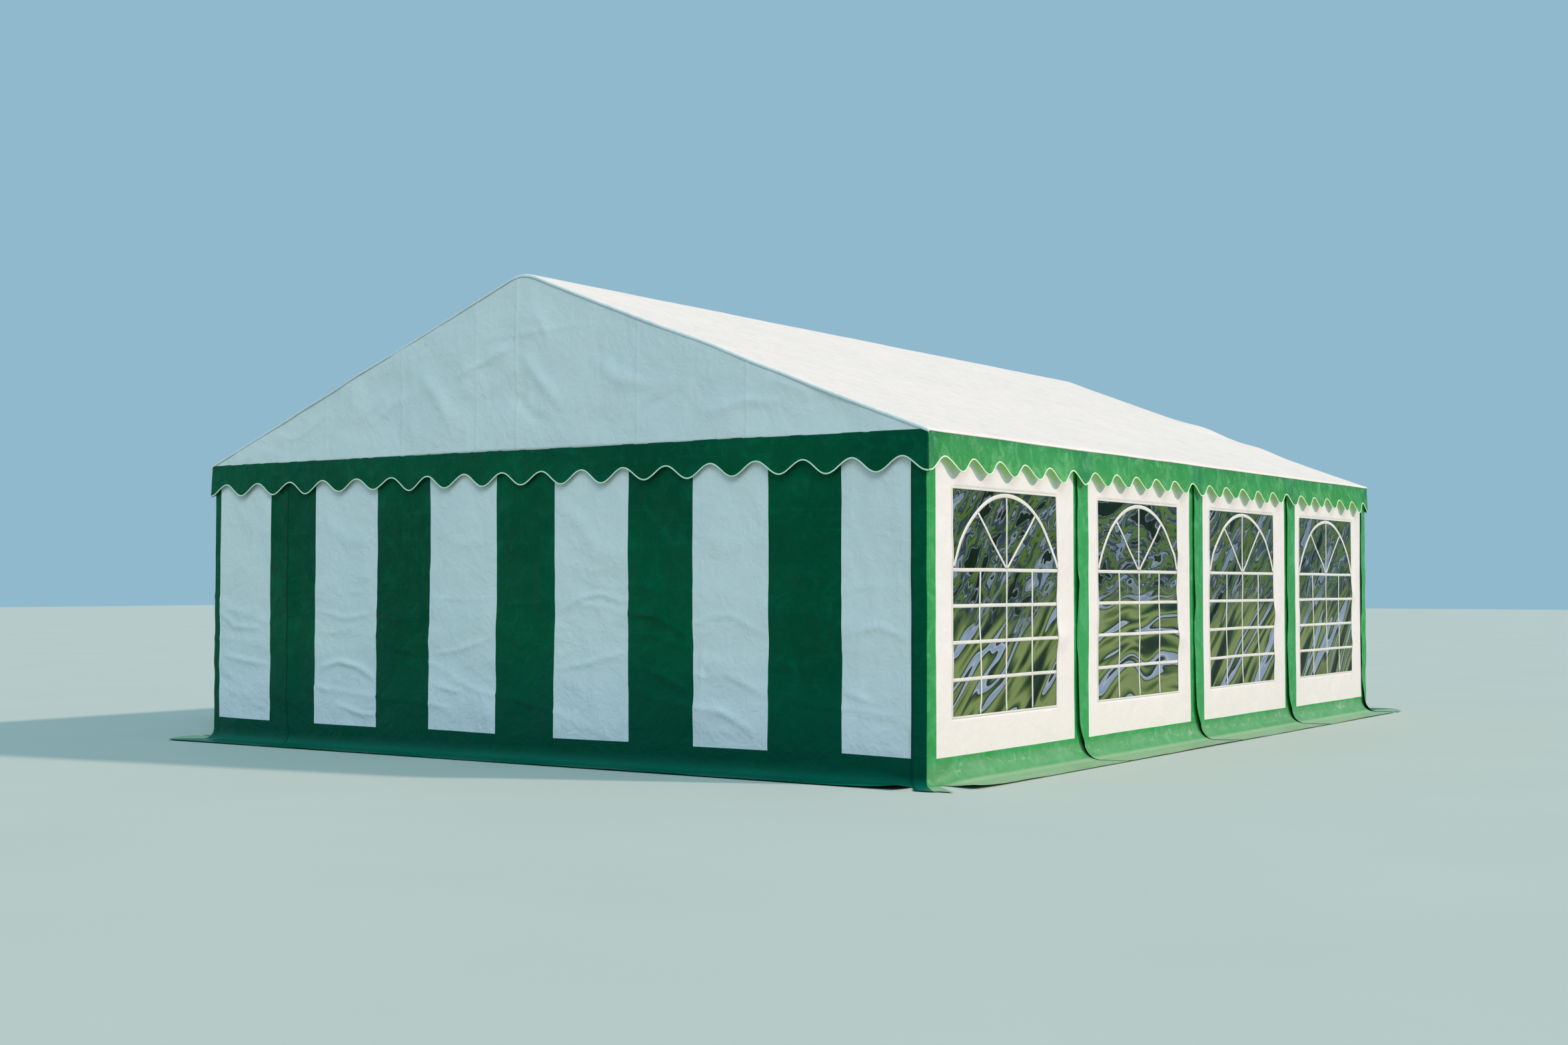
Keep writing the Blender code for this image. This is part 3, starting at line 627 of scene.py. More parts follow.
GABLE_CREASES = [
    # line of (x, z) points, width, height, sharp
    ([(-2.97, 0.95), (-2.79, 0.83), (-2.47, 0.82)], 0.020, 0.0055, False),
    ([(-2.97, 0.96), (-2.52, 0.94)], 0.016, 0.0030, True),
    ([(-2.91, 0.62), (-2.63, 0.58), (-2.45, 0.56)], 0.016, 0.0060, False),
    ([(-2.93, 0.40), (-2.73, 0.33)], 0.012, 0.0040, True),
    ([(-2.61, 0.28), (-2.45, 0.25)], 0.012, 0.0035, True),
    ([(-1.50, 1.19), (-1.38, 1.18)], 0.010, 0.0030, True),
    ([(-1.63, 1.09), (-1.48, 1.08)], 0.012, 0.0040, False),
    ([(-1.95, 0.96), (-1.64, 0.90), (-1.38, 0.94)], 0.018, 0.0050, False),
    ([(-1.94, 0.82), (-1.78, 0.79), (-1.55, 0.85)], 0.014, 0.0040, True),
    ([(-1.90, 0.55), (-1.70, 0.60), (-1.52, 0.57), (-1.34, 0.48)], 0.018, 0.0095, False),
    ([(-1.93, 0.44), (-1.78, 0.38)], 0.012, 0.0045, True),
    ([(-1.72, 0.30), (-1.47, 0.24), (-1.30, 0.24)], 0.014, 0.0065, False),
    ([(-1.35, 1.12), (-1.11, 1.18), (-0.85, 1.24)], 0.016, 0.0040, False),
    ([(-1.35, 0.92), (-1.10, 0.90), (-0.87, 0.93)], 0.014, 0.0045, False),
    ([(-1.36, 0.80), (-1.15, 0.70), (-0.86, 0.66)], 0.018, 0.0070, False),
    ([(-0.84, 1.04), (-0.27, 1.04)], 0.012, 0.0022, True),
    ([(-0.83, 0.67), (-0.61, 0.69), (-0.42, 0.74), (-0.24, 0.80)], 0.011, 0.0065, True),
    ([(-0.82, 0.47), (-0.63, 0.43), (-0.50, 0.42)], 0.014, 0.0045, False),
    ([(-0.83, 0.34), (-0.70, 0.31)], 0.010, 0.0040, True),
    ([(-0.37, 0.25), (-0.24, 0.30)], 0.010, 0.0040, True),
    ([(-0.24, 0.99), (0.06, 1.02), (0.25, 0.98)], 0.014, 0.0035, False),
    ([(-0.22, 0.46), (0.12, 0.34)], 0.020, 0.0040, False),
    ([(0.27, 0.94), (0.48, 1.05), (0.66, 1.08), (0.88, 1.02)], 0.014, 0.0065, False),
    ([(0.44, 1.03), (0.75, 0.98)], 0.010, 0.0040, True),
    ([(0.27, 0.59), (0.56, 0.64), (0.88, 0.72)], 0.018, 0.0045, False),
    ([(0.86, 0.96), (1.11, 0.94), (1.38, 0.80)], 0.018, 0.0085, False),
    ([(0.87, 0.86), (1.07, 0.82), (1.36, 0.73)], 0.014, 0.0060, False),
    ([(0.89, 0.66), (1.07, 0.60), (1.36, 0.48)], 0.022, 0.0065, False),
    ([(1.37, 0.88), (1.50, 0.94), (1.67, 0.95), (1.92, 0.83)], 0.012, 0.0060, True),
    ([(1.44, 0.84), (1.43, 0.24)], 0.006, 0.0020, True),
    ([(1.58, 0.61), (1.77, 0.54), (1.93, 0.46)], 0.012, 0.0070, True),
    ([(1.50, 0.41), (1.84, 0.25)], 0.016, 0.0060, False),
    ([(1.37, 0.60), (1.50, 0.56)], 0.010, 0.0040, True),
    ([(1.94, 0.94), (2.20, 0.97), (2.43, 0.90)], 0.016, 0.0035, False),
    ([(2.45, 0.84), (2.70, 0.90), (2.93, 0.82)], 0.020, 0.0050, False),
    ([(2.45, 0.52), (2.70, 0.45)], 0.020, 0.0040, False),
    ([(2.46, 1.60), (2.66, 1.20), (2.70, 1.02)], 0.040, 0.0035, False),
    ([(0.28, 1.66), (0.50, 1.52), (0.62, 1.36), (0.84, 1.30)], 0.045, 0.0060, False),
    ([(0.32, 1.28), (0.58, 1.22), (0.86, 1.26)], 0.020, 0.0032, True),
    ([(-1.90, 1.62), (-1.66, 1.46), (-1.40, 1.42)], 0.040, 0.0040, False),
    ([(1.42, 1.48), (1.62, 1.36), (1.90, 1.40)], 0.036, 0.0035, False),
    ([(-0.80, 1.52), (-0.56, 1.40), (-0.28, 1.44)], 0.036, 0.0035, False),
    ([(0.88, 1.18), (1.12, 1.08), (1.36, 1.12)], 0.026, 0.0045, False),
    ([(1.94, 1.30), (2.18, 1.18), (2.44, 1.22)], 0.034, 0.0040, False),
    ([(1.95, 0.70), (2.18, 0.64), (2.42, 0.72)], 0.022, 0.0050, False),
]
REAR_CREASES = [
    # the same list, drawn from the other corner and a little lower
    ([(0.06 - x, 0.96 * z - 0.02) for x, z in line], width, height, sharp)
    for line, width, height, sharp in GABLE_CREASES
]


def gable_wave(t, z, seed, creases):
    """How far a gable wall stands out, and how far it is drawn along itself."""
    free = 1.0
    for post in GABLE_POSTS:
        free = free * (1 - np.exp(-(((t - post) / 0.16) ** 2)))
    hung = smooth(2.0, 1.6, z)
    middle = smooth(1.7, 0.9, z) * smooth(0.08, 0.35, z)
    out = 0.010 * swell(t * 0.8, z * 0.7, seed) * free * hung
    out += 0.0040 * swell(t * 3.6, z * 0.7, seed + 1) * (0.3 + 0.7 * free) * hung
    out += 0.0054 * swell(t * 1.9 + 0.6 * z, z * 6.5, seed + 2) * middle
    out += 0.0056 * ridged(t * 1.3 + 0.45 * z, z * 3.9, seed + 3) * middle
    out += 0.0018 * swell(t * 9.0, z * 6.0, seed + 6) * (0.3 + 0.7 * hung)
    for line, width, height, sharp in creases:
        out = out + fold(t, z, line, width, 1.8 * height, sharp)
    out = out * (0.15 + 0.85 * smooth(2.955, 2.88, t))
    out = np.maximum(out, -0.0018 - 0.02 * free * hung)
    along = 0.005 * swell(t * 1.4, z * 1.6, seed + 4) * hung
    along += 0.0024 * swell(t * 3.0, z * 4.5, seed + 5) * hung
    return out, along


def side_lift(t, q, seed):
    """How far a skirt stands off the ground, q of the way out along it."""
    lift = 0.006 * (0.55 + 0.45 * swell(t * 1.3, 0.5, seed)) * smooth(0.2, 1.0, q)
    lift += 0.0024 * (1 + swell(t * 4.0, q * 1.5, seed + 1)) * smooth(0.0, 0.5, q)
    return lift


SIDE_Z = filled([WALL_TOP, 1.86, WINDOW_TOP, WINDOW_BOTTOM, 0.155], STEP)
GABLE_Z = np.concatenate([filled([WALL_TOP, 1.25], 0.03)[:-1], filled([1.25, 0.155], 0.015)])
REAR_Z = np.concatenate([filled([WALL_TOP, 1.25], 0.035)[:-1], filled([1.25, 0.155], 0.022)])
WINDOW_ROWS = [int(np.argmin(np.abs(SIDE_Z - z))) for z in (WINDOW_TOP, WINDOW_BOTTOM)]
LOW_SHARES = (0.34, 0.67)  # rows between the lower edge of the white and the bend
LEVEL_ROWS = 3  # rows of the white that follow its lower edge
BEND_TURNS = np.radians(np.linspace(0, 90, 9))
BEND_SHARE = 0.25  # how much of the way out the bend takes up
SKIRT_SHARES = np.array([0.12, 0.3, 0.5, 0.7, 0.84, 0.85, 0.97, 1.0])
HEM_START = 5  # row of the skirt where its hem starts
HEM_RISE = 0.0007
LAP_SHADE_STRIP_WIDTH = 0.012
TO_BEND = 1 + len(LOW_SHARES)  # rows from the lower edge of the white to the bend
TO_GROUND = TO_BEND + len(BEND_TURNS) - 1


def plan_at(t, stations):
    keys = [s[0] for s in stations]
    values = np.array([s[1:] for s in stations], float)
    return np.stack([np.interp(t, keys, values[:, k]) for k in range(values.shape[1])], axis=-1)


def wall_points(t, heights, stations, wave, lift, white_bottom, flap=None, shear=None):
    """The outer face of a wall as a grid over its columns t."""
    plan = plan_at(t, stations)
    flat = np.zeros(len(t))
    base, outward, run = (np.stack([plan[:, k], plan[:, k + 1], flat], axis=1) for k in (0, 2, 4))
    outward, run = unit(outward), unit(run)
    reach, layer, bend = plan[:, 6], plan[:, 7], plan[:, 8]
    tangent = np.stack([-outward[:, 1], outward[:, 0], flat], axis=1)
    face = FACE + layer * LAYER
    bottom = white_bottom(t)
    levels = []
    for row, z in enumerate(heights):
        share = max(0.0, 1 - (len(heights) - 1 - row) / LEVEL_ROWS)
        levels.append(z + (bottom - heights[-1]) * share)
    levels += [bottom + (bend - bottom) * share for share in LOW_SHARES]

    def sway(height):
        out, along = wave(t, height)
        return (out + flap(t, height) if flap else out), along

    rows = []
    for height in levels:
        out, along = sway(height)
        if shear:
            along = along + shear(t, height)
        point = base + (face + out)[:, None] * outward + along[:, None] * tangent
        rows.append(point + height[:, None] * UP)
    low_out, low_along = sway(bend)
    for index in range(len(BEND_TURNS) + len(SKIRT_SHARES)):
        if index < len(BEND_TURNS):
            turn = BEND_TURNS[index]
            out = bend - (bend - face) * math.cos(turn)
            height = bend - (bend - face) * math.sin(turn)
            q = BEND_SHARE * (turn / (math.pi / 2)) ** 2
            hold = math.cos(turn)
        else:
            share = SKIRT_SHARES[index - len(BEND_TURNS)]
            out = bend + (reach - bend) * share
            height = face.copy()
            q = BEND_SHARE + (1 - BEND_SHARE) * share
            hold = 0.0
            if index - len(BEND_TURNS) >= HEM_START:
                height = height + HEM_RISE
        rise = lift(t, np.full(len(t), q)) * smooth(0, BEND_SHARE, q)
        along = low_along * hold
        if shear:
            along = along + shear(t, bend * hold)
        point = base + face[:, None] * outward + (out - face)[:, None] * run
        point = point + (low_out * hold)[:, None] * outward + along[:, None] * tangent
        rows.append(point + (height + rise)[:, None] * UP)
    return np.array(rows)


def wall_cells(t, heights, greens, window=None, slit=None):
    """Which cells are green, and which stay open. A slit is (from, to, rows below the white)."""
    middle = (t[:-1] + t[1:]) / 2
    white_row = len(heights) - 1
    cells = np.zeros((white_row + TO_GROUND + len(SKIRT_SHARES), len(middle)), int)
    for low, high in greens:
        cells[:, (middle > low) & (middle < high)] = GREEN
    cells[white_row:] = GREEN
    opened = np.zeros(cells.shape, bool)
    if window:
        inside = (middle > window[0]) & (middle < window[1])
        opened[WINDOW_ROWS[0]:WINDOW_ROWS[1], inside] = True
    if slit:
        opened[white_row + slit[2]:, (middle > slit[0]) & (middle < slit[1])] = True
    return cells, opened


def corner_arc(corner, x, y, start, end):
    """(t, base, outward) round a corner, whose sides look along start and then end."""
    radius = CORNER_RADIUS
    centre = np.array([x, y]) - radius * (np.array(start) + np.array(end))
    first = math.atan2(start[1], start[0])
    sweep_by = (math.atan2(end[1], end[0]) - first + math.pi) % (2 * math.pi) - math.pi
    for step in range(ARC_STEPS + 1):
        angle = first + sweep_by * step / ARC_STEPS
        way = (math.cos(angle), math.sin(angle))
        at = corner - radius + 2 * radius * step / ARC_STEPS
        yield (at, centre[0] + radius * way[0], centre[1] + radius * way[1], *way)


def aimed(turn):
    """The way that points so many degrees from the front gable's towards the right side's."""
    return math.sin(math.radians(turn)), -math.cos(math.radians(turn))


def side_stations(bay):
    """(t, x, y, the way it faces, the way its skirt runs, reach, layer, bend) along a panel."""
    left, right = POST_ROWS[bay], POST_ROWS[bay + 1]

    def plain(at, layer=0):
        return (at, WALL_X, at, 1, 0, 1, 0, SIDE_SKIRT, layer, BEND)

    if bay == 0:
        corner, beside = -WRAP_Y, SLIT + SLIT_WIDTH
        stations = [(corner - 0.10, WALL_X - 0.10, corner, 0, -1, *aimed(32), 0.300, 0, CORNER_BEND)]
        for index, place in enumerate(corner_arc(corner, WALL_X, corner, (0, -1), (1, 0))):
            stations.append((*place, *aimed(34 + index), 0.304, 0, CORNER_BEND))
        stations.append((SLIT, WALL_X, SLIT, 1, 0, *aimed(42), 0.43, 0, CORNER_BEND))
        stations.append((beside, WALL_X, beside, 1, 0, *aimed(76), SIDE_SKIRT, 0, CORNER_BEND))
        stations.append(plain(-3.70))
    else:
        step = left + PANEL_TAIL + 0.02
        stations = [plain(left - PANEL_LEAD, 1), plain(step, 1), plain(step + 0.02)]
    return [*stations, plain(right + (0.015 if bay == 3 else PANEL_TAIL))]


FAR = math.inf  # past the end of a panel
# From where to where each panel is green
SIDE_GREENS = [
    [(-FAR, -3.89), (-2.092, FAR)],
    [(-FAR, -1.87), (-0.145, FAR)],
    [(-FAR, 0.115), (1.857, FAR)],
    [(-FAR, 2.122), (3.842, FAR)],
]
FRONT_GREENS = {
    "edge_wall": [(-FAR, -2.959), (-2.414, FAR)],
    "left_wall": [(-FAR, -1.95), (-1.339, -0.839)],
    "door": [(-0.233, 0.267), (0.872, 1.378)],
    "right_wall": [(1.93, 2.45), (2.941, FAR)],
}


FLAP_HEIGHTS = (0.10, 0.40, 0.65, 0.74, 0.86, 1.00, 1.15, 1.24, 1.55, 1.68, 1.86)
FLAP_STANDS = (
    # how far the free edge of a panel stands off, at those heights
    (0.024, 0.019, 0.014, 0.004, 0.004, 0.015, 0.025, 0.013, 0.010, 0.015, 0.008),
    (0.026, 0.015, 0.011, 0.005, 0.006, 0.019, 0.014, 0.010, 0.008, 0.014, 0.008),
    (0.024, 0.016, 0.007, 0.010, 0.018, 0.012, 0.007, 0.008, 0.012, 0.014, 0.008),
)


def free_edge(edge, width, stand, reach, taper, top=0.26, low=0.02):
    """How far a panel's free edge stands off and, at its foot, is drawn along the wall."""
    return (
        lambda t, z: stand(z) * np.exp(-(((t - edge) / width) ** 2)),
        lambda t, z: reach * smooth(top, low, z) * smooth(edge + taper, edge, t),
    )


def side_edge(bay):
    if bay == 0:
        edge = -WRAP_Y - 0.10
        return lambda t, z: 0.0035 * np.exp(-(t - edge) / 0.03) * smooth(2.0, 1.7, z), None
    stands = FLAP_STANDS[bay - 1]
    edge = POST_ROWS[bay] - PANEL_LEAD
    return free_edge(edge, 0.062, lambda z: np.interp(z, FLAP_HEIGHTS, stands), 0.10, 0.19)


def side_white_bottom(bay):
    level = (0.150, 0.143, 0.140, 0.134)[bay]
    return lambda t: np.full(len(t), level) + 0.002 * swell(t * 1.5, 0.2, 17)


side_walls = {}
for side, (opposite, seed) in SIDES.items():

    def wave(t, z, seed=seed):
        return side_wave(t, z, seed)

    def lift(t, q, seed=seed):
        near = np.exp(-np.clip(t - SLIT, 0, None) / 0.16) * (t > SLIT + SLIT_WIDTH / 2)
        return side_lift(t, q, seed + 7) + 0.020 * near * smooth(0.35, 1.0, q)

    for bay in range(4):
        window = (POST_ROWS[bay] + WINDOW_LEFT, POST_ROWS[bay + 1] - WINDOW_RIGHT)
        stations = side_stations(bay)
        breaks = {stations[0][0], stations[-1][0], *window}
        slit = None
        if bay == 0:
            breaks |= {s[0] for s in stations[1:-1]}
            slit = (SLIT, SLIT + SLIT_WIDTH, TO_GROUND)
        if bay == 3:
            breaks.add(WRAP_SLIT)
            slit = (WRAP_SLIT, FAR, TO_BEND)
        greens = SIDE_GREENS[bay]
        for ends in greens:
            breaks |= {x + s for x in ends if math.isfinite(x) for s in (-SEAM, SEAM)}
        t = filled(sorted(breaks), STEP)
        hangs = (wave, lift, side_white_bottom(bay), *side_edge(bay))
        cells, opened = wall_cells(t, SIDE_Z, greens, window, slit)
        # Painted light: the strip turned round the corner onto the gable takes the green's shaded copy.
        cells[:, t[1:] < -WRAP_Y] = OTHER_FACE_GREEN
        grid = wall_points(t, SIDE_Z, stations, *hangs)
        cloths = [white_sunlit_copy, green_sunlit_copy, green_shaded_copy]
        wall = fabric(f"{side}_wall_{bay + 1}", grid, opposite, cloths, cells, opened)
        side_walls[side, bay] = (wall, t[-1] - t[0], window)


# Windows

FILM_LAP = 0.012
FILM_STEP = 0.028
FILM_OFFSET = 0.0012  # from the wall's inner line
BAR_STEP = 0.018
MARGIN = 0.003  # from the opening's edge to the bars' ends
BAR_LEVELS = (1.223, 1.012, 0.80, 0.586)
FAN_REACH = 0.372  # of the slanted bars, whose upper ends are at this height:
FAN_TOP = 1.560
ARCH_RADIUS = 0.731
ARCH_TOP = 1.6725
ARCH_TURN = 66.0
BORDER_LINES = ((0.0, 0.0008), (0.003, 0.0012), (0.009, 0.0012), (0.013, 0.0008))  # outwards, up


def film_grid(seed, bay, window):
    """The film's lines along and up, and the grid of its points."""
    lap = FILM_LAP
    t = filled([window[0] - lap, *window, window[1] + lap], FILM_STEP)
    z = filled([WINDOW_TOP + lap, WINDOW_TOP, WINDOW_BOTTOM, WINDOW_BOTTOM - lap], FILM_STEP)
    tt, zz = np.meshgrid(t, z)
    out, along = side_wave(tt, zz, seed)
    across = np.minimum(tt - window[0], window[1] - tt)
    inset = np.minimum(across, np.minimum(zz - WINDOW_BOTTOM, WINDOW_TOP - zz))
    ripple = 0.0034 * swell(tt * 4.0 - zz * 2.4, zz * 2.8 + tt * 1.6, 50 + bay)
    ripple += 0.0009 * swell(tt * 10.0 - zz * 5.0, zz * 7.0, 60 + bay)
    out = out + ripple * smooth(0.0, 0.22, inset)
    return t, z, np.stack([WALL_X + FILM_OFFSET + out, tt + along, zz], axis=-1)


def on_film(t_line, z_line, grid, outward):
    """A function for points on a film at (t, z) and lifted off it."""

    def surface(t, z, lift=0.0):
        column = np.clip(np.searchsorted(t_line, t) - 1, 0, len(t_line) - 2)
        row = np.clip(np.searchsorted(-z_line, -z) - 1, 0, len(z_line) - 2)
        a = ((t - t_line[column]) / (t_line[column + 1] - t_line[column]))[:, None]
        b = ((z_line[row] - z) / (z_line[row] - z_line[row + 1]))[:, None]
        high = grid[row, column] * (1 - a) + grid[row, column + 1] * a
        low = grid[row + 1, column] * (1 - a) + grid[row + 1, column + 1] * a
        return high * (1 - b) + low * b + np.array([outward * lift, 0, 0])

    return surface


def window_bars(window, bay):
    """The lines of a window's bars, with how far each lies over the film."""
    left, right = window
    centre = (left + right) / 2
    quarter = (right - left) / 4
    first = BAR_LEVELS[0]

    def level(z):
        t = filled([left + MARGIN, right - MARGIN], BAR_STEP)
        return np.stack([t, z + 0.0025 * swell(t * 2.2, z * 3, 70 + bay)], axis=1)

    def upright(at, low, high, wobble=0.011):
        z = filled([low, high], BAR_STEP)
        ends = smooth(low, low + 0.08, z) * smooth(high, high - 0.08, z)
        sway = wobble * swell(z * 5.5, at * 3.1, 80 + bay) * (0.3 + 0.7 * ends)
        return np.stack([at + sway, z], axis=1)

    def slanted(hand):
        share = np.linspace(0, 1, 28)
        start, end = centre + hand * 0.008, centre + hand * FAN_REACH
        t = start + (end - start) * share
        z = first + 0.012 + (FAN_TOP - (first + 0.012)) * share
        return np.stack([t + 0.002 * np.sin(math.pi * share), z], axis=1)

    thin = []
    for at in (centre, centre - quarter, centre + quarter):
        thin.append((upright(at, WINDOW_BOTTOM + MARGIN, first - 0.01), 0.0020))
    thin.append((upright(centre, first + 0.008, 1.66, 0.003), 0.0020))
    thin += [(slanted(hand), 0.0022) for hand in (-1, 1)]
    angles = np.radians(np.linspace(-ARCH_TURN, ARCH_TURN, 96))
    t = np.clip(centre + ARCH_RADIUS * np.sin(angles), left + 0.014, right - 0.014)
    arch = np.stack([t, ARCH_TOP - ARCH_RADIUS + ARCH_RADIUS * np.cos(angles)], axis=1)
    return {
        "bars": (0.022, [(level(z), 0.0010) for z in BAR_LEVELS]),
        "glazing": (0.018, thin),
        "arch": (0.026, [(arch, 0.0030)]),
    }


def window_border(window, seed):
    """A welded border round the opening, as rings of points that grow outwards."""
    middle = np.array([(window[0] + window[1]) / 2, (WINDOW_BOTTOM + WINDOW_TOP) / 2])
    half = np.array([window[1] - window[0], WINDOW_TOP - WINDOW_BOTTOM]) / 2 - MARGIN
    share = (np.arange(48) / 48)[:, None]
    corners = [middle + half * way for way in ((-1, 1), (-1, -1), (1, -1), (1, 1), (-1, 1))]
    edges = [start + (end - start) * share for start, end in zip(corners, corners[1:])]
    inner = np.concatenate(edges)
    rings = []
    for extra, rise in BORDER_LINES:
        t, z = (middle + (inner - middle) * (half + extra) / half).T
        out, along = side_wave(t, z, seed)
        rings.append(np.stack([WALL_X + FACE + out + rise, t + along, z], axis=-1))
    return np.array(rings)


for side, (opposite, seed) in SIDES.items():
    for bay in range(4):
        wall, width, window = side_walls[side, bay]
        t, z, grid = film_grid(seed, bay, window)
        name = f"{side}_window_{bay + 1}"
        looks = [film_materials[bay]]
        film = fabric(name, grid, opposite, looks, kind="film", thickness=FILM)
        surface = on_film(t, z, placed(grid, opposite), -1 if opposite else 1)
        for part, (bar_width, lines) in window_bars(window, bay).items():
            ribbon(f"{name}_{part}", lines, surface, bar_width)
        rings = placed(window_border(window, seed), opposite)
        border = grid_piece(f"{name}_border", rings, [bar_cream], thickness=BORDER, closed=True)


# Gable walls


def gable_stations(panel):
    """(t, x, y, the way it faces, the way its skirt runs, reach, layer, bend) along a panel."""

    def plain(x, layer=0, bend=GABLE_BEND):
        return (x, x, -WALL_Y, 0, -1, 0, -1, GABLE_SKIRT, layer, bend)

    if panel == "edge_wall":
        corner = -WRAP_X
        stations = [(WRAP_EDGE, -WRAP_X, WRAP_REACH - WALL_Y, -1, 0, -1, 0, SIDE_SKIRT, 0, BEND)]
        stations.append((corner - 0.06, -WRAP_X, 0.06 - WALL_Y, -1, 0, *aimed(-63), 0.315, 0, 0.10))
        for place in corner_arc(corner, -WRAP_X, -WALL_Y, (-1, 0), (0, -1)):
            stations.append((*place, *aimed(-34), 0.322, 0, WRAP_BEND))
        stations.append((-2.965, -2.965, -WALL_Y, 0, -1, *aimed(-15), 0.285, 0, WRAP_BEND))
        stations += [plain(-2.915), plain(LAP_END - 0.02)]
    elif panel == "left_wall":
        stations = [plain(LAP, 1), plain(LAP_END, 1), plain(LAP_END + 0.02), plain(DOOR_LEFT - DOOR_GAP)]
    elif panel == "door":
        stations = [plain(DOOR_LEFT + DOOR_GAP), plain(DOOR_RIGHT - DOOR_GAP)]
    else:
        stations = [plain(DOOR_RIGHT + DOOR_GAP), plain(HALF_SPAN - 0.35)]
        stations.append(plain(HALF_SPAN - 0.075, bend=END_BEND))
        stations.append((SKIRT_END, SKIRT_END, -WALL_Y, 0, -1, *aimed(5), GABLE_SKIRT, 0, END_BEND))
        stations.append(plain(HALF_SPAN + 0.0153, bend=END_BEND))
    return stations


def left_stand(z):
    return 0.011 * (0.3 + 0.7 * smooth(1.86, 1.70, z))


def wrap_stand(z):
    """The free edge of the edge wall, which is turned round the corner over the side wall."""
    return 0.9 * np.interp(z, FLAP_HEIGHTS, FLAP_STANDS[1])


FREE_EDGES = {
    "edge_wall": free_edge(WRAP_EDGE, 0.055, wrap_stand, 0.055, 0.13),
    "left_wall": free_edge(LAP, 0.05, left_stand, 0.03, 0.19, 0.24, 0.03),
}


# Height of the white's lower edge at places along the gable
WHITE_ENDS = (
    (-2.95, 0.166), (-2.42, 0.160), (-2.0, 0.162), (-1.95, 0.158), (-1.34, 0.156), (-1.1, 0.165),
    (-0.84, 0.163), (-0.23, 0.158), (0.0, 0.150), (0.27, 0.152), (0.87, 0.155), (1.1, 0.16),
    (1.38, 0.150), (1.93, 0.152), (2.2, 0.16), (2.45, 0.160), (2.94, 0.152),
)


def gable_white_bottom(t):
    return np.interp(t, *zip(*WHITE_ENDS))


for gable, opposite in GABLES.items():
    seed = 130 if opposite else 110
    creases = REAR_CREASES if opposite else GABLE_CREASES
    levels = REAR_Z if opposite else GABLE_Z

    def wave(t, z, seed=seed, creases=creases):
        return gable_wave(t, z, seed, creases)

    def lift(t, q, seed=seed):
        rise = side_lift(t, q, seed + 7)
        return rise + 0.026 * np.exp(-np.clip(SKIRT_END - t, 0, None) / 0.12) * smooth(0.4, 1.0, q)

    for panel, greens in FRONT_GREENS.items():
        stations = gable_stations(panel)
        first, last = stations[0][0], stations[-1][0]
        breaks = {first, first + 0.0015, last - 0.0015, last}
        slit = None
        if panel == "edge_wall":
            breaks |= {s[0] for s in stations[1:-1]}
        if panel == "left_wall":
            breaks.add(LAP + 0.0105)
        if panel == "right_wall":
            breaks.add(SKIRT_END)
            slit = (SKIRT_END, FAR, TO_BEND)
        for ends in greens:
            edges = [x for x in ends if first + 0.01 < x < last - 0.01]
            breaks |= {x + s for x in edges for s in (-SEAM, SEAM)}
        t = filled(sorted(breaks), STEP)
        hangs = (wave, lift, gable_white_bottom, *FREE_EDGES.get(panel, (None, None)))
        cells, opened = wall_cells(t, levels, greens, None, slit)
        # Painted light: the strip turned round the corner onto the side takes the green's sunlit copy.
        cells[:, t[1:] < -WRAP_X] = OTHER_FACE_GREEN
        # Painted shade: the strip along the lap's free edge takes a darker green, for the shadow in its
        # gap.
        if panel == "left_wall":
            cells[:, t[1:] < LAP + LAP_SHADE_STRIP_WIDTH] = LAP_EDGE_SHADE
        grid = wall_points(t, levels, stations, *hangs)
        cloths = [white_shaded_copy, green_shaded_copy, green_sunlit_copy, lap_edge_painted_shade]
        piece = fabric(f"{gable}_{panel}", grid, opposite, cloths, cells, opened)

    for hand, at, width in (("left", DOOR_LEFT, 0.0022), ("right", DOOR_RIGHT, 0.0044)):
        door = gable_stations("door")
        line = wall_points(np.array([at]), levels, door, wave, lift, gable_white_bottom)[3:-3, 0]
        if hand == "right":
            line = line[line[:, 2] < ZIP_TOP]
        normals = np.cross(np.array([1.0, 0.0, 0.0]), unit(np.gradient(line, axis=0)))
        normals *= -np.sign(normals[0, 1])
        line, normals = placed(line + ZIP_OFFSET * normals, opposite), placed(normals, opposite)
        low = float(gable_white_bottom(at))
        name = f"{gable}_door_zip_{hand}"
        coil = sweep(name, line, normals, width, ZIP_RISE, [white_shaded_copy, green_shaded_copy], low)


# Roof cover

COVER_OUT = RIDGE_BEND + CLOTH_OFFSET + FACE
COVER_END = COVER_Y - 0.012  # where the cover starts to turn down over the gables
TURN_DOWN = ((0.0016, 0.008), (0.0060, 0.0145), (0.0125, 0.017), (0.022, 0.0172))  # drop, reach
EAVE_HEM = ((0.0022, 0.003), (0.0030, 0.008), (0.0030, 0.014))  # reach, drop
RIDGE_HALF = COVER_OUT * PITCH
SLOPE = (COVER_X - COVER_OUT * math.sin(PITCH)) / math.cos(PITCH)
COVER_HALF = RIDGE_HALF + SLOPE
MID_RAIL = RIDGE_HALF + (HALF_SPAN / 2 - RIDGE_BEND * math.sin(PITCH)) / math.cos(PITCH)
EAVE_RAIL = RIDGE_HALF + (HALF_SPAN - RIDGE_BEND * math.sin(PITCH)) / math.cos(PITCH)


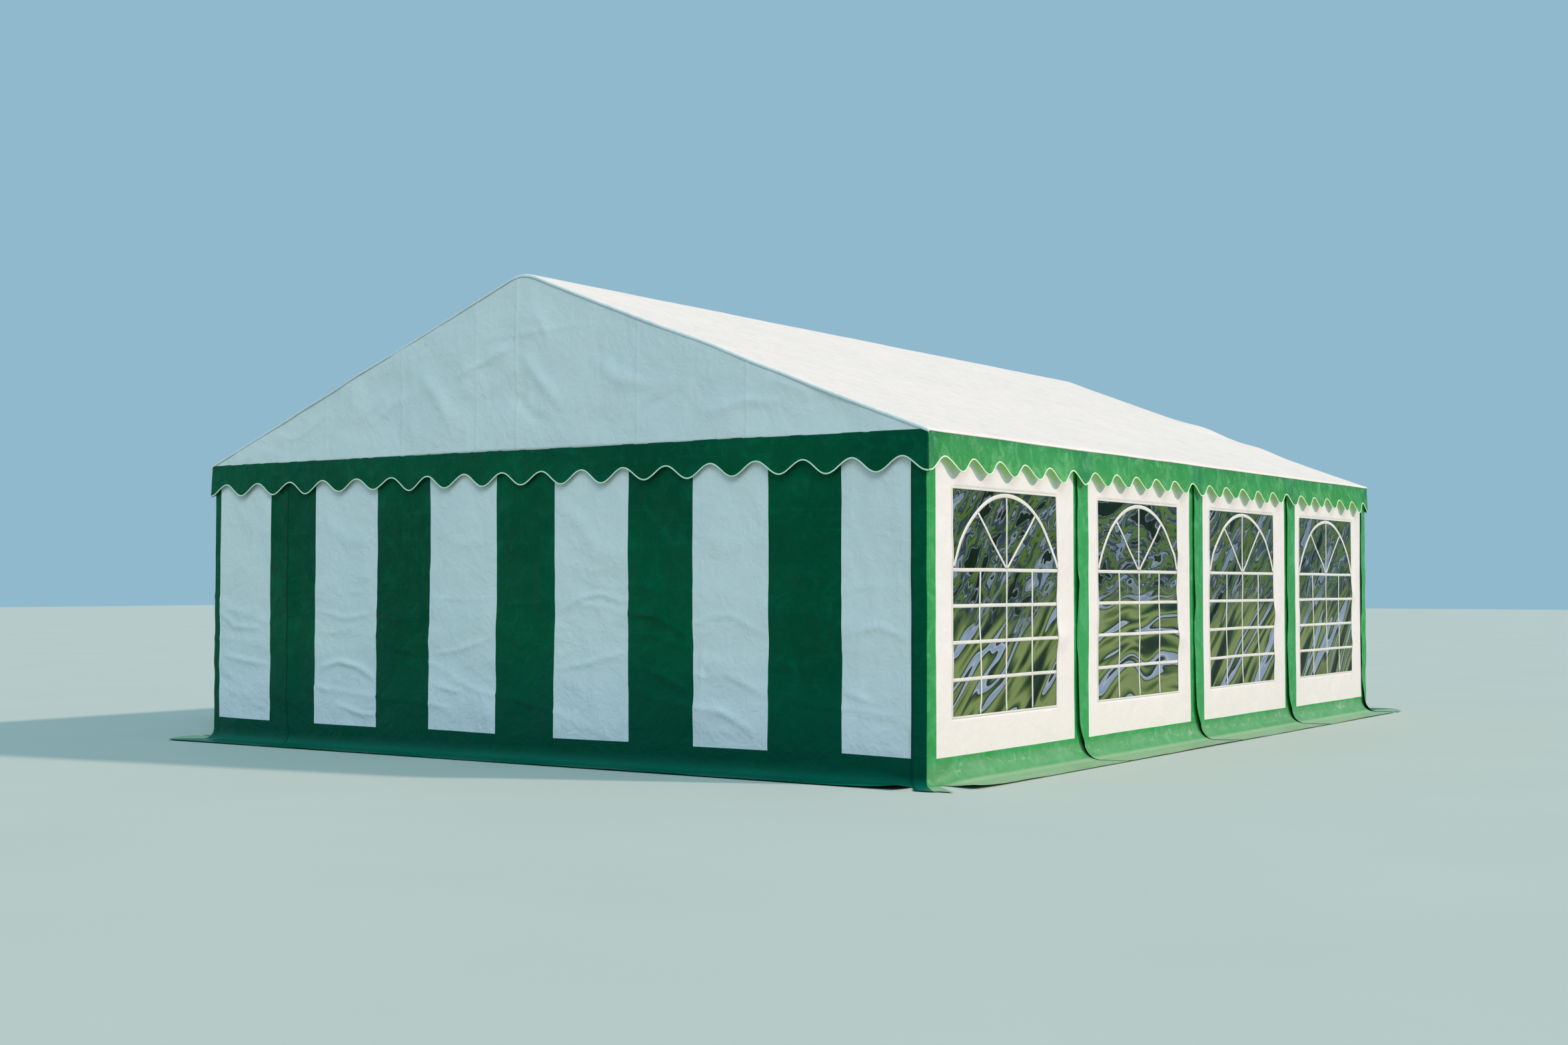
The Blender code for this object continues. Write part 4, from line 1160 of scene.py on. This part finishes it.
def cover_section(a):
    """(x, z) and the normal of the cover's outer line, a metres along it from the ridge."""
    side = np.sign(a)
    far = np.abs(a)
    angle = np.clip(far / COVER_OUT, 0, PITCH)
    beyond = np.clip(far - RIDGE_HALF, 0, None)
    x = COVER_OUT * np.sin(angle) + beyond * math.cos(PITCH)
    z = BEND_CENTRE + COVER_OUT * np.cos(angle) - beyond * math.sin(PITCH)
    return side * x, z, side * np.sin(angle), np.cos(angle)


def rim_wave(t, seed):
    """How the line along the top of a valance wanders up and down."""
    return 0.0035 * swell(t * 1.1, 0.4, seed) + 0.0012 * swell(t * 4.0, 0.9, seed + 1)


def cover_wave(a, y):
    """How far the cover sags between the rails and trusses, with its wrinkles and end bumps."""
    far = np.abs(a)
    panels = np.where(far < MID_RAIL, far / MID_RAIL, (far - MID_RAIL) / (EAVE_RAIL - MID_RAIL))
    across = np.sin(math.pi * np.clip(panels, 0, 1)) ** 0.9
    bays = ((y + END_ROW) / BAY) % 1.0
    inside = np.abs(y) < END_ROW
    along = np.where(inside, np.sin(math.pi * np.clip(bays, 0, 1)) ** 0.9, 0)
    side = np.sign(a) * 2 + np.floor((y + END_ROW) / BAY) + 5 * (far > MID_RAIL)
    depth = 0.011 + 0.004 * np.sin(side * 2.3)
    out = -depth * across * (0.35 + 0.65 * along)
    slack = across * along
    out = out + 0.0040 * swell(a * 1.6, y * 1.6, 201) * slack
    out = out + 0.0032 * ridged(a * 1.4 + y * 0.9, y * 0.5 - a * 0.4, 203) * (0.2 + slack)
    out = out + 0.0022 * ridged(a * 2.0 - y * 1.3, y * 0.6 + a * 0.5, 205) * (0.2 + slack)
    out = out + 0.0009 * swell(a * 8.0, y * 8.0, 207)
    end = smooth(3.2, 3.97, np.abs(y))
    from_eave = COVER_HALF - far
    bumps = 0.020 * np.exp(-(((from_eave - 1.64) / 0.20) ** 2))
    bumps += 0.015 * np.exp(-(((from_eave - 1.05) / 0.17) ** 2))
    rear = np.where(y > 0, 1.0, 0.25)
    return out + bumps * end * rear


def rim(line, outward, drop, axis):
    """A copy of a line of the cover's edge, moved out along an axis and down."""
    moved = line.copy()
    moved[:, axis] += outward
    moved[:, 2] -= drop
    return moved


def build_cover():
    folds = [RIDGE_HALF, MID_RAIL, EAVE_RAIL, COVER_HALF]
    a = filled([*(-at for at in reversed(folds)), *folds], 0.045)
    y = filled([COVER_END, END_ROW, BAY, 0, -BAY, -END_ROW, -COVER_END], 0.05)
    aa, yy = np.meshgrid(a, y)
    x, z, nx, nz = cover_section(aa)
    curl = smooth(COVER_HALF - 0.05, COVER_HALF, np.abs(aa))
    out = cover_wave(aa, yy) * (1 - curl)
    right, left = rim_wave(yy, RIM_SEEDS["right"]), rim_wave(-yy, RIM_SEEDS["left"])
    z = z + curl * np.where(aa > 0, right, left)
    grid = np.stack([x + nx * out, yy, z + nz * out], axis=-1)
    front = [rim(grid[-1], -reach, drop, 1) for drop, reach in TURN_DOWN]
    rear = [rim(grid[0], reach, drop, 1) for drop, reach in reversed(TURN_DOWN)]
    grid = np.concatenate([rear, grid, front])
    left = [rim(grid[:, 0], -reach, drop, 0)[:, None] for reach, drop in reversed(EAVE_HEM)]
    right = [rim(grid[:, -1], reach, drop, 0)[:, None] for reach, drop in EAVE_HEM]
    return np.concatenate([*left, grid, *right], axis=1)


cover_grid = build_cover()
cover_cells = np.zeros((cover_grid.shape[0] - 1, cover_grid.shape[1] - 1), int)
# The rims turned down over the gables take the white's shaded copy, as painted shade.
cover_cells[:3] = cover_cells[-3:] = 1  # the rims that turn down over the gables
cover = fabric("roof_cover", cover_grid, False, [white_roof_lit_copy, white_shaded_copy], cover_cells)


# Gable triangles


def roof_underside(x):
    """Height of the cover's lower face over x."""
    out = COVER_OUT - FACE
    far = np.abs(x)
    bent = out * math.sin(PITCH)
    on_bend = BEND_CENTRE + np.sqrt(np.clip(out**2 - np.minimum(far, bent) ** 2, 0, None))
    sloped = BEND_CENTRE + out * math.cos(PITCH) - (far - bent) * math.tan(PITCH)
    return np.where(far < bent, on_bend, sloped)


GABLE_SEAMS = [
    # place along the gable, how far it stands out
    (-1.84, 0.0022), (-1.09, 0.0024), (-0.40, 0.0026), (-0.045, 0.0038), (0.955, 0.0028), (1.79, 0.0032)
]
GABLE_FOLDS = [
    # line of (x, z) points, width, height, sharp
    ([(-0.38, 2.76), (0.10, 2.775), (0.62, 2.80)], 0.014, 0.0060, True),
    ([(0.00, 2.66), (0.14, 2.48), (0.36, 2.26)], 0.045, 0.0090, False),
    ([(-0.60, 2.52), (-0.30, 2.62), (-0.05, 2.70)], 0.022, 0.0055, False),
    ([(-0.10, 2.40), (0.10, 2.22), (0.30, 2.16)], 0.032, -0.0060, False),
    ([(0.30, 2.30), (0.38, 2.42)], 0.014, 0.0040, True),
    ([(0.34, 2.24), (0.44, 2.38)], 0.014, 0.0035, True),
    ([(0.55, 2.60), (0.80, 2.44), (1.10, 2.36)], 0.050, 0.0065, False),
    ([(1.30, 2.34), (1.10, 2.26), (0.90, 2.14)], 0.040, -0.0055, False),
    ([(-0.95, 2.60), (-0.75, 2.40), (-0.60, 2.18)], 0.050, 0.0065, False),
    ([(-1.45, 2.20), (-1.20, 2.36), (-1.00, 2.44)], 0.035, 0.0050, False),
    ([(1.45, 2.16), (1.75, 2.24), (2.05, 2.22)], 0.035, 0.0045, False),
    ([(0.10, 2.95), (0.20, 2.80), (0.24, 2.66)], 0.030, 0.0050, False),
]


def gable_sheet_wave(x, z, seed, folds, seams):
    """How far a gable triangle stands out."""
    height = roof_underside(x) - COVER_RIM
    share = np.clip((z - COVER_RIM) / np.maximum(height, 0.02), 0, 1)
    held = np.sin(math.pi * share) ** 0.6 * smooth(0.03, 0.25, height)
    out = 0.0110 * swell(x * 1.6, z * 2.2, seed) * held
    out += 0.0075 * swell(x * 4.0 + z * 2, z * 5.0 - x, seed + 1) * held
    out += 0.0075 * ridged(x * 2.6 - z * 2.0, z * 2.4, seed + 2) * held
    out += 0.0010 * swell(x * 14, z * 14, seed + 3)
    for at, rise in seams:
        out += rise * np.exp(-np.abs(x - at) / 0.006)
    for line, width, rise, sharp in folds:
        out += fold(x, z, line, width, 2.1 * rise, sharp) * (0.25 + 0.75 * held)
    return np.maximum(out, -0.014)


for gable, opposite in GABLES.items():
    seed = 430 if opposite else 410
    folds, seams, rows, step = GABLE_FOLDS, GABLE_SEAMS, 60, 0.021
    if opposite:
        folds = [([(-x * 0.93 + 0.12, z) for x, z in line], w, h, s) for line, w, h, s in GABLE_FOLDS]
        seams, rows, step = [(-x, rise) for x, rise in GABLE_SEAMS], 36, 0.03
    breaks = {GABLE_INSET - COVER_X, COVER_X - GABLE_INSET}
    breaks |= {at + by for at, rise in seams for by in (-0.012, -0.005, 0.0, 0.005, 0.012)}
    x = filled(sorted(breaks), step)
    shares = np.linspace(1, 0, rows)
    xx, ss = np.meshgrid(x, shares)
    bottom = COVER_RIM + rim_wave(xx, RIM_SEEDS[gable])
    zz = bottom - 0.004 + ss * (roof_underside(xx) - 0.004 - bottom)
    out = gable_sheet_wave(xx, zz, seed, folds, seams)
    grid = np.stack([xx, -(COVER_Y + 0.0002 + out), zz], axis=-1)
    piece = fabric(f"{gable}_gable", grid, opposite, [white_shaded_copy])


# Valances


def valance(half, count, base, flare, seed, marks):
    """Points (outward, along, up) of a scalloped strip from corner to corner, and how it turns."""
    radius = 0.010
    t = filled([-half, -half + radius, half - radius, half], 0.0125)
    ends = np.clip(np.abs(t) - (half - radius), 0, None) / radius
    turn = np.sign(t) * ends * math.radians(45)
    flat_t = np.clip(t, -(half - radius), half - radius)
    phase = (t / half * 0.5 + 0.5) * count
    irregular = 0.006 * swell(t * 3.0, 0.2, seed + 5)
    wave = 0.5 + 0.5 * np.cos(2 * math.pi * phase)
    drop = NOTCH_DEPTH + irregular * 0.4 + (SCALLOP_DEPTH + irregular) * wave
    top = COVER_RIM - 0.0008 + rim_wave(t, seed)
    fade = smooth(half, half - 0.30, np.abs(t))
    rows = []
    for share in (0, 0.04, 0.12, 0.25, 0.4, 0.55, 0.7, 0.85, 0.94, 1.0):
        z = top - drop * share
        down = np.clip((COVER_RIM - z) / VALANCE_DEPTH, 0, 1)
        out = (0.010 + (flare - 0.010) * fade) * down**1.15
        out = out + 0.0065 * swell(t * 2.6, 0.4 * down, seed + 2) * down * fade
        out = out + 0.0022 * swell(t * 9.0, 2.0 * down, seed + 3) * down
        out = out + 0.0012 * ridged(t * 3.0, 2.5 * down, seed + 4)
        for mark in marks:
            out = out - 0.004 * np.exp(-(((t - mark) / 0.05) ** 2)) * down
            out = out + 0.0015 * np.exp(-np.abs(t - mark - 0.06) / 0.012)
        outward = base - radius + (radius + out) * np.cos(turn)
        rows.append(np.stack([outward, flat_t + (radius + out) * np.sin(turn), z], axis=-1))
    return np.array(rows), turn


def faced(points, is_side):
    """Points (outward, along, up), as they lie on the right side or on the front gable."""
    return points if is_side else points[..., [1, 0, 2]] * np.array([1.0, -1.0, 1.0])


for edge, seed in RIM_SEEDS.items():
    is_side, opposite = edge in SIDES, edge in ("left", "rear")
    if is_side:
        half, count, base, flare = COVER_Y, SIDE_SCALLOPS, COVER_X, 0.034
        marks = [row - 0.02 for row in POST_ROWS[1:-1]]
    else:
        half, count, base, flare = COVER_X, GABLE_SCALLOPS, COVER_Y, 0.012
        marks = []
    points, turn = valance(half, count, base, flare, seed, marks)
    grid = faced(points, is_side)
    name = f"{edge}_valance"
    green = valance_sunlit_copy if is_side else valance_shaded_copy
    piece = fabric(name, grid, opposite, [green])
    normals = np.stack([np.cos(turn), np.sin(turn), 0 * turn], axis=-1)
    normals = placed(faced(normals, is_side), opposite)
    line = placed(grid[-1], opposite) - normals * PIPING_INSET
    piping = sweep(f"{name}_piping", line, normals, 0.0046, 0.0024, [binding])


# Floor, light and camera

bpy.ops.mesh.primitive_plane_add(size=160.0, location=(0, 0, 0))
floor = bpy.context.object
floor.name = "floor"
n = Nodes("pale_floor")
tones = n.mix(n.noise(0.6, 3.0), (0.44, 0.50, 0.44), (0.48, 0.54, 0.48))
floor.data.materials.append(n.shade(Base_Color=tones, Roughness=0.85))

world = bpy.data.worlds.new("studio")
bpy.context.scene.world = world
world.use_nodes = True
backdrop = world.node_tree.nodes["Background"]
backdrop.inputs["Color"].default_value = (0.28, 0.485, 0.61, 1.0)
backdrop.inputs["Strength"].default_value = 1.0
bpy.context.scene.view_settings.view_transform = "Standard"


def sun(name, energy, colour, towards, spread):
    data = bpy.data.lights.new(name, "SUN")
    data.energy = energy
    data.color = colour
    data.angle = math.radians(spread)
    made = bpy.data.objects.new(name, data)
    made.rotation_euler = Vector(towards).to_track_quat("-Z", "Y").to_euler()
    bpy.context.scene.collection.objects.link(made)


sun("key", 2.86, (1.0, 0.75, 0.672), (-0.77, -0.33, -0.545), 3)
sun("fill", 1.32, (0.81, 0.95, 1.0), (-0.50, 0.55, -0.67), 28)

camera_data = bpy.data.cameras.new("camera")
camera_data.lens = 44.27
camera_data.sensor_width = 36.0
camera_data.clip_end = 300.0
camera = bpy.data.objects.new("camera", camera_data)
camera.location = (8.438, -13.449, 1.133)
camera.rotation_euler = (math.radians(91.86), 0.0, math.radians(34.01))
bpy.context.scene.collection.objects.link(camera)
bpy.context.scene.camera = camera
